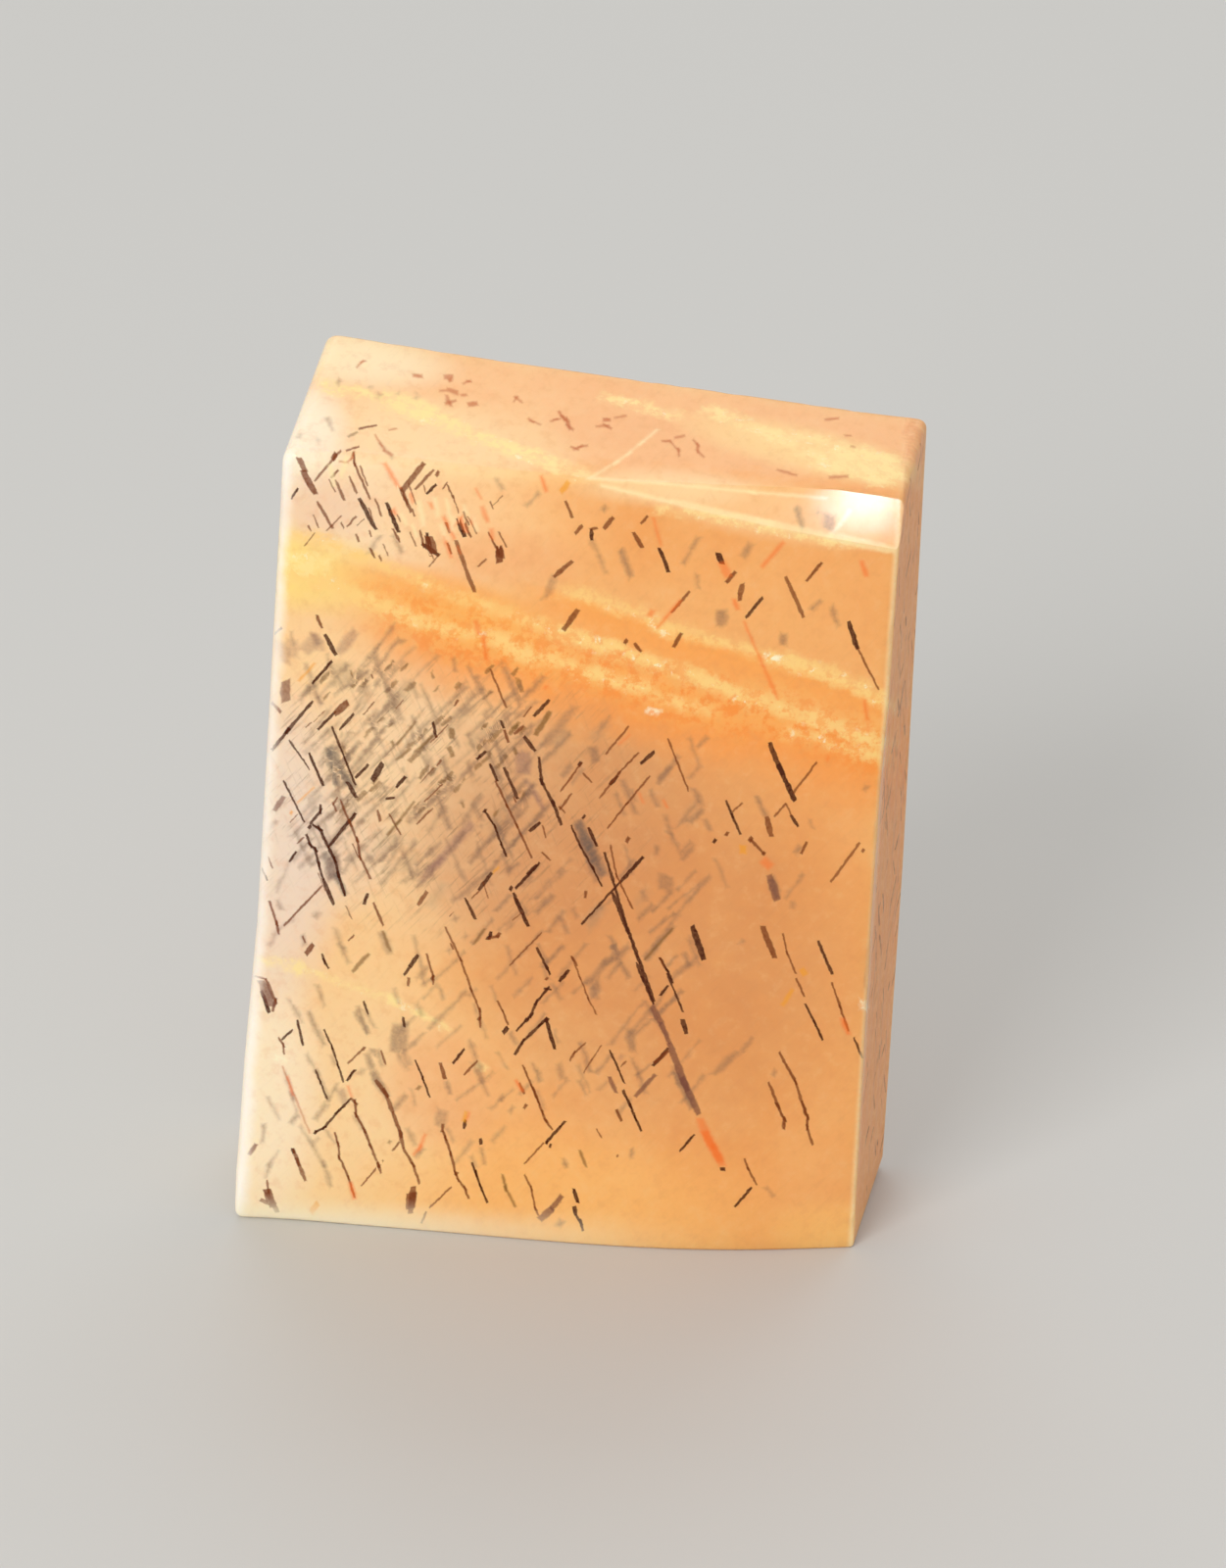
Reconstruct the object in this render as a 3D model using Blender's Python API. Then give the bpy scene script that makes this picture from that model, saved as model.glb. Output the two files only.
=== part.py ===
"""Polished specimen slab of rainbow lattice sunstone, one solid piece of feldspar.

The slab stands on its sawn base, leans a little to the right and has a gently
domed front towards -Y. Lengths are in millimetres until the mesh is made.
"""
import bmesh
import bpy
import numpy as np

MM = 0.001

# Outline of the polished front, seen square on. x runs right, z runs up, in mm.
FRONT_LEFT = [(0.02, 0.0), (0.04, 1.5), (0.29, 5.4), (0.68, 10.1), (1.08, 18.0), (1.46, 25.57)]
FRONT_TOP = [(1.46, 25.57), (5.83, 25.32), (10.24, 25.04), (17.29, 24.78), (19.2, 24.52)]
FRONT_RIGHT = [(19.2, 24.52), (19.06, 18.4), (18.93, 15.5), (18.84, 11.0), (18.75, 0.0)]
FRONT_BASE = [(18.75, 0.0), (0.02, 0.0)]

# Outline of the back face, as the front would see it through the stone.
BACK_LEFT = [(0.55, 0.0), (0.75, 5.4), (1.1, 10.1), (1.45, 18.0), (2.22, 26.92)]
BACK_TOP = [(2.22, 26.92), (7.0, 26.42), (19.8, 25.32)]
BACK_RIGHT = [(19.8, 25.32), (19.7, 10.6), (19.5, 0.0)]
BACK_BASE = [(19.5, 0.0), (0.55, 0.0)]

# The slab is thicker at its left side than at its right side.
THICKNESS_LEFT = 5.4
THICKNESS_RIGHT = 4.54

# The front swells forward at the foot and flattens towards the top.
SWELL_EDGE = 0.42
SWELL_MIDDLE = 0.62
SWELL_START = 0.3
SWELL_WIDTH = 18.4
SWELL_PEAK_POWER = 1.7
SWELL_HEIGHT = 26.0

# Corner radii of the outline, in the order foot left, top left, top right, foot right.
FRONT_CORNERS = (0.3, 0.55, 0.25, 0.15)
BACK_CORNERS = (0.5, 0.5, 0.3, 0.55)

# Rounding of the front edge on each side, and of the back edge all the way round.
ROUND_LEFT = 0.45
ROUND_TOP_LEFT = 0.5
ROUND_TOP_MIDDLE = 0.3
ROUND_TOP_RIGHT = 0.06
ROUND_TOP_CHANGE = (1.5, 8.0, 12.0)
ROUND_RIGHT = 0.14
ROUND_FOOT = 0.12
ROUND_BACK = 0.28

# Where the rounding passes from the left side to the right, from the top to the sides, and at the foot.
LEFT_END = (1.8, 3.8)
TOP_START = (23.8, 25.0)
FOOT_END = 0.6
ROUND_FOOT_LEFT = 0.2

# Flat facet ground across the upper right of the front.
FACET_POINT = (15.3, 0.0, 23.86)
FACET_ALONG = (7.41, -1.38)
FACET_TILT_DEG = 20.0

# Saw ridges left on the right side, running up the slab.
SAW_DEPTH = 0.035
SAW_PITCH = 0.9
SAW_EDGE_HEIGHTS = (0.0, 25.0)
SAW_EDGE_PLACES = (18.77, 19.22)

# Fineness of the mesh: points on each side and corner, rings over an edge and through the depth.
SIDE_STEPS = 22
CORNER_STEPS = 6
ROUND_STEPS = 4
DEPTH_STEPS = 16
FACE_CENTRE = (10.0, 12.6)
FRONT_RINGS = (0.2, 0.4, 0.6, 0.78, 0.91)
BACK_RINGS = (0.7, 0.35)
MERGE_DISTANCE = 0.0005
SHARP_ANGLE_DEG = 18.0


def trimmed(points, start, end):
    """Even points along an open line of straight pieces, with a length taken off each end."""
    p = np.array(points, float)
    reach = np.concatenate([[0.0], np.cumsum(np.linalg.norm(np.diff(p, axis=0), axis=1))])
    at = np.linspace(start, reach[-1] - end, SIDE_STEPS)
    return np.column_stack([np.interp(at, reach, p[:, 0]), np.interp(at, reach, p[:, 1])])


def corner(a, tip, b):
    """A quadratic curve from a to b that bends round the tip, without its ends."""
    t = np.linspace(0.0, 1.0, CORNER_STEPS + 2)[1:-1, None]
    return (1 - t) ** 2 * a + 2 * t * (1 - t) * tip + t ** 2 * b


def outline(left, top, right, base, radii):
    """Closed loop of points, clockwise from the foot of the left side, with rounded corners."""
    sides = [left, top, right, base]
    runs = [trimmed(s, radii[i], radii[(i + 1) % 4]) for i, s in enumerate(sides)]
    loop = []
    for i, run in enumerate(runs):
        following = runs[(i + 1) % 4]
        tip = np.array(sides[i][-1], float)
        loop.append(run)
        loop.append(corner(run[-1], tip, following[0]))
    return np.concatenate(loop)


def inward(loop):
    """Unit direction into the outline at each of its points."""
    run = np.roll(loop, -1, axis=0) - np.roll(loop, 1, axis=0)
    run /= np.linalg.norm(run, axis=1)[:, None]
    return np.column_stack([run[:, 1], -run[:, 0]])


def swell(x, z):
    """How far the front stands forward: most at the foot right of the middle, fading to the top."""
    u = np.clip((x - SWELL_START) / SWELL_WIDTH, 0.0, 1.0)
    rise = np.sin(np.pi * u ** SWELL_PEAK_POWER)
    fade = np.clip(1.0 - z / SWELL_HEIGHT, 0.0, 1.0)
    return (SWELL_EDGE + SWELL_MIDDLE * rise) * fade


def thickness(x):
    """Depth of the back face behind the front edge, from the left side to the right side."""
    return np.interp(x, [1.0, 19.0], [THICKNESS_LEFT, THICKNESS_RIGHT])


def front_rounding(loop):
    """Radius of the rounded front edge at each point of the outline."""
    x = loop[:, 0]
    z = loop[:, 1]
    top = np.interp(z, TOP_START, [0.0, 1.0])
    foot = np.interp(z, [0.0, FOOT_END], [1.0, 0.0])
    side_value = np.interp(x, LEFT_END, [ROUND_LEFT, ROUND_RIGHT])
    top_value = np.interp(x, ROUND_TOP_CHANGE, [ROUND_TOP_LEFT, ROUND_TOP_MIDDLE, ROUND_TOP_RIGHT])
    foot_value = np.interp(x, LEFT_END, [ROUND_FOOT_LEFT, ROUND_FOOT])
    value = side_value * (1 - top) + top_value * top
    return value * (1 - foot) + foot_value * foot


def rings():
    """Loops of points from the middle of the front, over its edge and round to the back's middle."""
    front = outline(FRONT_LEFT, FRONT_TOP, FRONT_RIGHT, FRONT_BASE, FRONT_CORNERS)
    back = outline(BACK_LEFT, BACK_TOP, BACK_RIGHT, BACK_BASE, BACK_CORNERS)
    into_front = inward(front)
    into_back = inward(back)
    radius = front_rounding(front)
    face_y = -swell(front[:, 0], front[:, 1])
    out = []
    rim = front + into_front * radius[:, None]
    centre = np.array(FACE_CENTRE)
    for share in FRONT_RINGS:
        ring = centre + (rim - centre) * share
        out.append(np.column_stack([ring[:, 0], -swell(ring[:, 0], ring[:, 1]), ring[:, 1]]))
    for angle in np.linspace(0.0, np.pi / 2, ROUND_STEPS + 1):
        ring = front + into_front * (radius * (1 - np.sin(angle)))[:, None]
        y = face_y + radius * (1 - np.cos(angle))
        out.append(np.column_stack([ring[:, 0], y, ring[:, 1]]))
    side_y = face_y + radius
    end_y = thickness(back[:, 0]) - ROUND_BACK
    for share in np.linspace(0.0, 1.0, DEPTH_STEPS + 1)[1:]:
        ring = front * (1 - share) + back * share
        y = side_y * (1 - share) + end_y * share
        out.append(np.column_stack([ring[:, 0], y, ring[:, 1]]))
    for angle in np.linspace(0.0, np.pi / 2, ROUND_STEPS + 1)[1:]:
        ring = back + into_back * (ROUND_BACK * (1 - np.cos(angle)))
        y = end_y + ROUND_BACK * np.sin(angle)
        out.append(np.column_stack([ring[:, 0], y, ring[:, 1]]))
    for share in BACK_RINGS:
        ring = centre + (out[-1][:, [0, 2]] - centre) * share
        out.append(np.column_stack([ring[:, 0], thickness(ring[:, 0]), ring[:, 1]]))
    front_tip = (centre[0], -float(swell(*centre)), centre[1])
    back_tip = (centre[0], float(thickness(centre[0])), centre[1])
    return out, [front_tip, back_tip]


def saw_ridges(points):
    """Low ridges on the sawn right side: a fine wave of depth along y, only where x is outermost."""
    right_edge = np.interp(points[:, 2], SAW_EDGE_HEIGHTS, SAW_EDGE_PLACES)
    on_side = np.interp(points[:, 0] - right_edge, [0.0, 0.1], [0.0, 1.0])
    on_side *= np.interp(points[:, 1], [0.2, 0.5], [0.0, 1.0])
    on_side *= np.interp(points[:, 2], [0.3, 0.8], [0.0, 1.0])
    wave = np.sin(points[:, 1] * 2 * np.pi / SAW_PITCH)
    points[:, 0] -= SAW_DEPTH * on_side * (0.5 + 0.5 * wave)
    return points


def mesh_of(loops, tips):
    """Closed mesh through the loops, capped at both ends by a fan to a single point."""
    count = len(loops[0])
    points = saw_ridges(np.concatenate(loops))
    points = np.concatenate([points, np.array(tips)])
    faces = []
    for r in range(len(loops) - 1):
        for k in range(count):
            j = (k + 1) % count
            faces.append((r * count + k, r * count + j, (r + 1) * count + j, (r + 1) * count + k))
    first = len(points) - 2
    last = len(points) - 1
    bottom = (len(loops) - 1) * count
    for k in range(count):
        j = (k + 1) % count
        faces.append((first, j, k))
        faces.append((last, bottom + k, bottom + j))
    return points, faces


def facet(bm):
    """Grind the flat facet: everything in front of its plane is cut away and the cut is closed."""
    run = np.array([FACET_ALONG[0], 0.0, FACET_ALONG[1]])
    run /= np.linalg.norm(run)
    up = np.array([-run[2], 0.0, run[0]])
    tilt = np.radians(FACET_TILT_DEG)
    normal = np.cos(tilt) * np.array([0.0, -1.0, 0.0]) + np.sin(tilt) * up
    point = np.array(FACET_POINT)
    point[1] = -float(swell(point[0], point[2]))
    cut = bmesh.ops.bisect_plane(
        bm,
        geom=bm.verts[:] + bm.edges[:] + bm.faces[:],
        plane_co=point,
        plane_no=normal,
        clear_outer=True,
    )
    edges = [e for e in cut["geom_cut"] if isinstance(e, bmesh.types.BMEdge)]
    bmesh.ops.contextual_create(bm, geom=edges)


def slab():
    """The finished stone as one object, its base on z = 0 and centred over the origin."""
    loops, tips = rings()
    points, faces = mesh_of(loops, tips)
    mesh = bpy.data.meshes.new("sunstone_slab")
    bm = bmesh.new()
    for p in points:
        bm.verts.new(p)
    bm.verts.ensure_lookup_table()
    for f in faces:
        bm.faces.new([bm.verts[i] for i in f])
    facet(bm)
    bmesh.ops.remove_doubles(bm, verts=bm.verts[:], dist=MERGE_DISTANCE)
    bmesh.ops.triangulate(bm, faces=bm.faces[:])
    bmesh.ops.recalc_face_normals(bm, faces=bm.faces[:])
    if bm.calc_volume(signed=True) < 0:
        bmesh.ops.reverse_faces(bm, faces=bm.faces[:])
    co = np.array([v.co[:] for v in bm.verts])
    low = co.min(axis=0)
    high = co.max(axis=0)
    shift = np.array([(low[0] + high[0]) / 2, (low[1] + high[1]) / 2, low[2]])
    for v, p in zip(bm.verts, (co - shift) * MM):
        v.co = p
    bm.to_mesh(mesh)
    bm.free()
    mesh.shade_smooth()
    mesh.set_sharp_from_angle(angle=np.radians(SHARP_ANGLE_DEG))
    obj = bpy.data.objects.new("sunstone_slab", mesh)
    bpy.context.scene.collection.objects.link(obj)
    return obj


def stone_material():
    """Polished peach feldspar."""
    mat = bpy.data.materials.new("peach_feldspar")
    mat.use_nodes = True
    shader = mat.node_tree.nodes["Principled BSDF"]
    shader.inputs["Base Color"].default_value = (0.9, 0.52, 0.26, 1.0)
    shader.inputs["Roughness"].default_value = 0.18
    shader.inputs["Metallic"].default_value = 0.0
    return mat


for old in list(bpy.data.objects):
    bpy.data.objects.remove(old, do_unlink=True)
stone = slab()
stone.data.materials.append(stone_material())
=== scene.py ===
"""Upright polished slab of lattice sunstone, the one piece of stone it is.

Lengths in the stone's own section are millimetres in the slab's working frame:
x from the left foot corner to the right, y from the front into the stone, z up.
"""

import bmesh
import bpy
import numpy as np
from mathutils import Matrix, Vector


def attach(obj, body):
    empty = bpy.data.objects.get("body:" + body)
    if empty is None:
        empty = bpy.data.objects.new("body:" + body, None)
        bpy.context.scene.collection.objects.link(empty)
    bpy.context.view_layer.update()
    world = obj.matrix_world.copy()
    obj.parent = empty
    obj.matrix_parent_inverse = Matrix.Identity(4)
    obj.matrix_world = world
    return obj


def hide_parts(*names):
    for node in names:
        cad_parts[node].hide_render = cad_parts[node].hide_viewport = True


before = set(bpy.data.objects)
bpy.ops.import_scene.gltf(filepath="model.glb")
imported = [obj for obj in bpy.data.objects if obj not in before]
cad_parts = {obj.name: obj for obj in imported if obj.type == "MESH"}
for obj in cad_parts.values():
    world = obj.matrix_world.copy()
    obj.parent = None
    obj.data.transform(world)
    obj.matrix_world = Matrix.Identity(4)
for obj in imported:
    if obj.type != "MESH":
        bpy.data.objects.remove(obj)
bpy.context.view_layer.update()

# The slab. Sawn from a piece of peach feldspar, with its front ground to a low dome and polished,
# a small flat facet ground across the upper right, saw marks left on the right side, and the base
# cut flat so that it stands by itself.

MM = 0.001
FRAME_SHIFT = np.array([9.911, 2.18, 0.0])

# Each outline is its four sides in turn: left, top, right and foot. Its corners have their own radii.
FRONT_OUTLINE = (
    [(0.02, 0.0), (0.04, 1.5), (0.29, 5.4), (0.68, 10.1), (1.08, 18.0), (1.46, 25.57)],
    [(1.46, 25.57), (5.83, 25.32), (10.24, 25.04), (17.29, 24.78), (19.2, 24.52)],
    [(19.2, 24.52), (19.06, 18.4), (18.93, 15.5), (18.84, 11.0), (18.75, 0.0)],
    [(18.75, 0.0), (0.02, 0.0)],
)
BACK_OUTLINE = (
    [(0.55, 0.0), (0.75, 5.4), (1.1, 10.1), (1.45, 18.0), (2.22, 26.92)],
    [(2.22, 26.92), (7.0, 26.42), (19.8, 25.32)],
    [(19.8, 25.32), (19.7, 10.6), (19.5, 0.0)],
    [(19.5, 0.0), (0.55, 0.0)],
)
FRONT_CORNERS = (0.3, 0.55, 0.25, 0.15)
BACK_CORNERS = (0.5, 0.5, 0.3, 0.55)
BACK_EDGE = 0.28
MIDDLE = np.array([10.0, 12.6])

# The dome's height along its sides and what its middle adds, how far that is pushed to the right, and
# where it has faded out; then the slab's depth, the wear of its edges and the ridges the saw left.
DOME_FOOT = 0.42
DOME_SWELL = 0.62
DOME_SKEW = 1.7
DOME_TOP = 26.0
LEFT_DEPTH = 5.4
RIGHT_DEPTH = 4.54
FRONT_WEAR = 0.035
BACK_WEAR = 0.05
SAW_DEPTH = 0.035
SAW_STEP = 0.9

# How finely the skin is divided: round the outline, then across the faces, over the edges and in depth.
POINTS_ON_SIDES = (118, 92, 118, 86)
POINTS_ON_CORNER = 7
FRONT_STEPS = 34
BACK_STEPS = 22
EDGE_STEPS = 9
DEPTH_STEPS = 30


def side_points(line, start, end, count):
    """Even points along a line of straight pieces, found by walking its length with both ends trimmed."""
    p = np.array(line, float)
    walked = np.concatenate([[0.0], np.cumsum(np.linalg.norm(np.diff(p, axis=0), axis=1))])
    at = np.linspace(start, walked[-1] - end, count)
    return np.column_stack([np.interp(at, walked, p[:, 0]), np.interp(at, walked, p[:, 1])])


def rounded_outline(sides, radii):
    """Closed loop round four sides. Each corner is a quadratic curve with the corner as its middle point."""
    runs = [side_points(s, radii[i], radii[(i + 1) % 4], POINTS_ON_SIDES[i]) for i, s in enumerate(sides)]
    t = np.linspace(0.0, 1.0, POINTS_ON_CORNER + 2)[1:-1, None]
    loop = []
    for i, run in enumerate(runs):
        tip = np.array(sides[i][-1], float)
        bend = (1 - t) ** 2 * run[-1] + 2 * t * (1 - t) * tip + t ** 2 * runs[(i + 1) % 4][0]
        loop += [run, bend]
    return np.concatenate(loop)


def pointing_in(loop):
    """Unit direction square to the outline and into it: the run between both neighbours, turned a quarter."""
    run = np.roll(loop, -1, axis=0) - np.roll(loop, 1, axis=0)
    run /= np.linalg.norm(run, axis=1)[:, None]
    return np.column_stack([run[:, 1], -run[:, 0]])


def dome(x, z):
    """How far the front stands forward: a sine hump across, highest right of the middle, fading upwards."""
    across = np.clip((x - 0.3) / 18.4, 0.0, 1.0)
    hump = DOME_FOOT + DOME_SWELL * np.sin(np.pi * across ** DOME_SKEW)
    return hump * np.clip(1.0 - z / DOME_TOP, 0.0, 1.0)


def back_depth(x):
    """Depth of the flat back, straight from its value at the left side to that at the right."""
    return np.interp(x, [1.0, 19.0], [LEFT_DEPTH, RIGHT_DEPTH])


def front_edge_radius(loop):
    """Radius of the front edge: by height, a small one at the foot, then the sides' and then the top's."""
    x, z = loop.T
    top = np.interp(z, [23.8, 25.0], [0.0, 1.0])
    foot = np.interp(z, [0.0, 0.6], [1.0, 0.0])
    side_value = np.interp(x, [1.8, 3.8], [0.45, 0.14])
    top_value = np.interp(x, [1.5, 8.0, 12.0], [0.5, 0.3, 0.06])
    value = side_value * (1 - top) + top_value * top
    return value * (1 - foot) + np.interp(x, [1.8, 3.8], [0.2, 0.12]) * foot


def snug(loop, radius):
    """The radius held under the outline's own radius of bend, step length over turn, so no edge folds."""
    step = np.roll(loop, -1, axis=0) - loop
    length = np.linalg.norm(step, axis=1)
    heading = np.unwrap(np.arctan2(step[:, 1], step[:, 0]))
    turn = np.abs((heading - np.roll(heading, 1) + np.pi) % (2 * np.pi) - np.pi)
    limit = 0.8 * 0.5 * (length + np.roll(length, 1)) / (turn + 1e-4)
    limit = np.min([np.roll(limit, shift) for shift in range(-6, 7)], axis=0)
    held = np.minimum(radius, limit)
    return np.mean([np.roll(held, shift) for shift in range(-3, 4)], axis=0)


def edge_wear(count, seed, depth):
    """Small uneven wear along an edge: a sum of waves round the loop, kept only where it takes stone away."""
    rng = np.random.default_rng(seed)
    turn = np.linspace(0.0, 2 * np.pi, count, endpoint=False)
    waves = np.arange(9, 100)
    height = np.cos(np.outer(turn, waves) + rng.uniform(0, 2 * np.pi, waves.size)) / np.sqrt(waves)
    total = height.sum(axis=1)
    return depth * np.clip(total / np.abs(total).max() - 0.1, 0.0, 1.0)


def slab_rings():
    """Rings from the front's middle outwards, a quarter circle over each edge, straight through the depth."""
    front = rounded_outline(FRONT_OUTLINE, FRONT_CORNERS)
    back = rounded_outline(BACK_OUTLINE, BACK_CORNERS)
    into_front = pointing_in(front)
    into_back = pointing_in(back)
    radius = snug(front, front_edge_radius(front))
    back_radius = snug(back, np.full(len(back), BACK_EDGE))
    off_foot = np.interp(front[:, 1], [0.2, 1.0], [0.0, 1.0])
    worn_front = edge_wear(len(front), 3, FRONT_WEAR) * off_foot
    worn_back = edge_wear(len(back), 5, BACK_WEAR) * off_foot
    face_y = -dome(front[:, 0], front[:, 1])
    end_y = back_depth(back[:, 0]) - back_radius
    rings = []
    rim = front + into_front * radius[:, None]
    for share in np.linspace(0.0, 1.0, FRONT_STEPS + 1)[1:-1]:
        ring = MIDDLE + (rim - MIDDLE) * share
        rings.append(np.column_stack([ring[:, 0], -dome(ring[:, 0], ring[:, 1]), ring[:, 1]]))
    for angle in np.linspace(0.0, np.pi / 2, EDGE_STEPS + 1):
        lift = worn_front * np.sin(2 * angle)
        ring = front + into_front * (radius * (1 - np.sin(angle)) + lift)[:, None]
        y = face_y + radius * (1 - np.cos(angle)) + lift
        rings.append(np.column_stack([ring[:, 0], y, ring[:, 1]]))
    for share in np.linspace(0.0, 1.0, DEPTH_STEPS + 1)[1:]:
        ring = front * (1 - share) + back * share
        y = (face_y + radius) * (1 - share) + end_y * share
        rings.append(np.column_stack([ring[:, 0], y, ring[:, 1]]))
    for angle in np.linspace(0.0, np.pi / 2, EDGE_STEPS)[1:]:
        lift = worn_back * np.sin(2 * angle)
        ring = back + into_back * (back_radius * (1 - np.cos(angle)) + lift)[:, None]
        rings.append(np.column_stack([ring[:, 0], end_y + back_radius * np.sin(angle) - lift, ring[:, 1]]))
    inner = rings[-1][:, [0, 2]]
    for share in np.linspace(1.0, 0.0, BACK_STEPS + 1)[1:-1]:
        ring = MIDDLE + (inner - MIDDLE) * share
        rings.append(np.column_stack([ring[:, 0], back_depth(ring[:, 0]), ring[:, 1]]))
    return rings


def saw_ridges(points):
    """Ridges up the right side: a sine of the depth moves x in, where x is outermost and off the edges."""
    x, y, z = points.T
    on_side = np.interp(x - np.interp(z, [0.0, 25.0], [18.77, 19.22]), [0.0, 0.1], [0.0, 1.0])
    on_side = on_side * np.interp(y, [0.2, 0.5], [0.0, 1.0]) * np.interp(z, [0.3, 0.8], [0.0, 1.0])
    points[:, 0] -= SAW_DEPTH * on_side * (0.5 + 0.5 * np.sin(y * 2 * np.pi / SAW_STEP))
    return points


def closed_skin(rings):
    """Points and faces of the closed skin: squares between neighbouring rings and a fan at each end."""
    count = len(rings[0])
    points = saw_ridges(np.concatenate(rings))
    front_tip = [MIDDLE[0], -float(dome(*MIDDLE)), MIDDLE[1]]
    back_tip = [MIDDLE[0], float(back_depth(MIDDLE[0])), MIDDLE[1]]
    points = np.concatenate([points, [front_tip, back_tip]])
    k = np.arange(count)
    j = (k + 1) % count
    start = np.arange(len(rings) - 1)[:, None] * count
    squares = np.stack([start + k, start + j, start + j + count, start + k + count], axis=-1).reshape(-1, 4)
    last = (len(rings) - 1) * count
    first_fan = np.column_stack([np.full(count, len(points) - 2), j, k])
    last_fan = np.column_stack([np.full(count, len(points) - 1), last + k, last + j])
    return points, squares.tolist() + first_fan.tolist() + last_fan.tolist()


def triples(items, field):
    """One triple of the mesh for each of its points or faces, as the rows of an array."""
    values = np.empty(len(items) * 3)
    items.foreach_get(field, values)
    return values.reshape(-1, 3)


# The facet's plane goes through one place on the dome, along a line to the right and down, tilted back.
FACET_PLACE = (15.3, 23.86)
FACET_TILT = np.radians(20.0)
facet_run = np.array([7.41, 0.0, -1.38]) / np.hypot(7.41, 1.38)
facet_up = np.array([-facet_run[2], 0.0, facet_run[0]])
facet_normal = np.cos(FACET_TILT) * np.array([0.0, -1.0, 0.0]) + np.sin(FACET_TILT) * facet_up
facet_point = np.array([FACET_PLACE[0], -float(dome(*FACET_PLACE)), FACET_PLACE[1]])

points, faces = closed_skin(slab_rings())
skin = bpy.data.meshes.new("polished_slab")
skin.from_pydata(points, [], faces)
bm = bmesh.new()
bm.from_mesh(skin)
bmesh.ops.bisect_plane(
    bm, geom=bm.verts[:] + bm.edges[:] + bm.faces[:], plane_co=facet_point, plane_no=facet_normal, dist=1e-5
)
bm.to_mesh(skin)
bm.free()

# Points still in front of the facet's plane go straight back onto it.
co = triples(skin.vertices, "co")
ahead = (co - facet_point) @ facet_normal
co[:, 1] += np.where(ahead > 0, ahead / -facet_normal[1], 0.0)
skin.vertices.foreach_set("co", co.ravel())
bm = bmesh.new()
bm.from_mesh(skin)
bmesh.ops.remove_doubles(bm, verts=bm.verts[:], dist=0.003)
bmesh.ops.triangulate(bm, faces=bm.faces[:])
bmesh.ops.recalc_face_normals(bm, faces=bm.faces[:])
if bm.calc_volume(signed=True) < 0:
    bmesh.ops.reverse_faces(bm, faces=bm.faces[:])
bm.to_mesh(skin)
bm.free()
skin.vertices.foreach_set("co", ((triples(skin.vertices, "co") - FRAME_SHIFT) * MM).ravel())
skin.shade_smooth()
skin.set_sharp_from_angle(angle=np.radians(17.0))
slab = bpy.data.objects.new("polished_slab", skin)
bpy.context.scene.collection.objects.link(slab)

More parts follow.
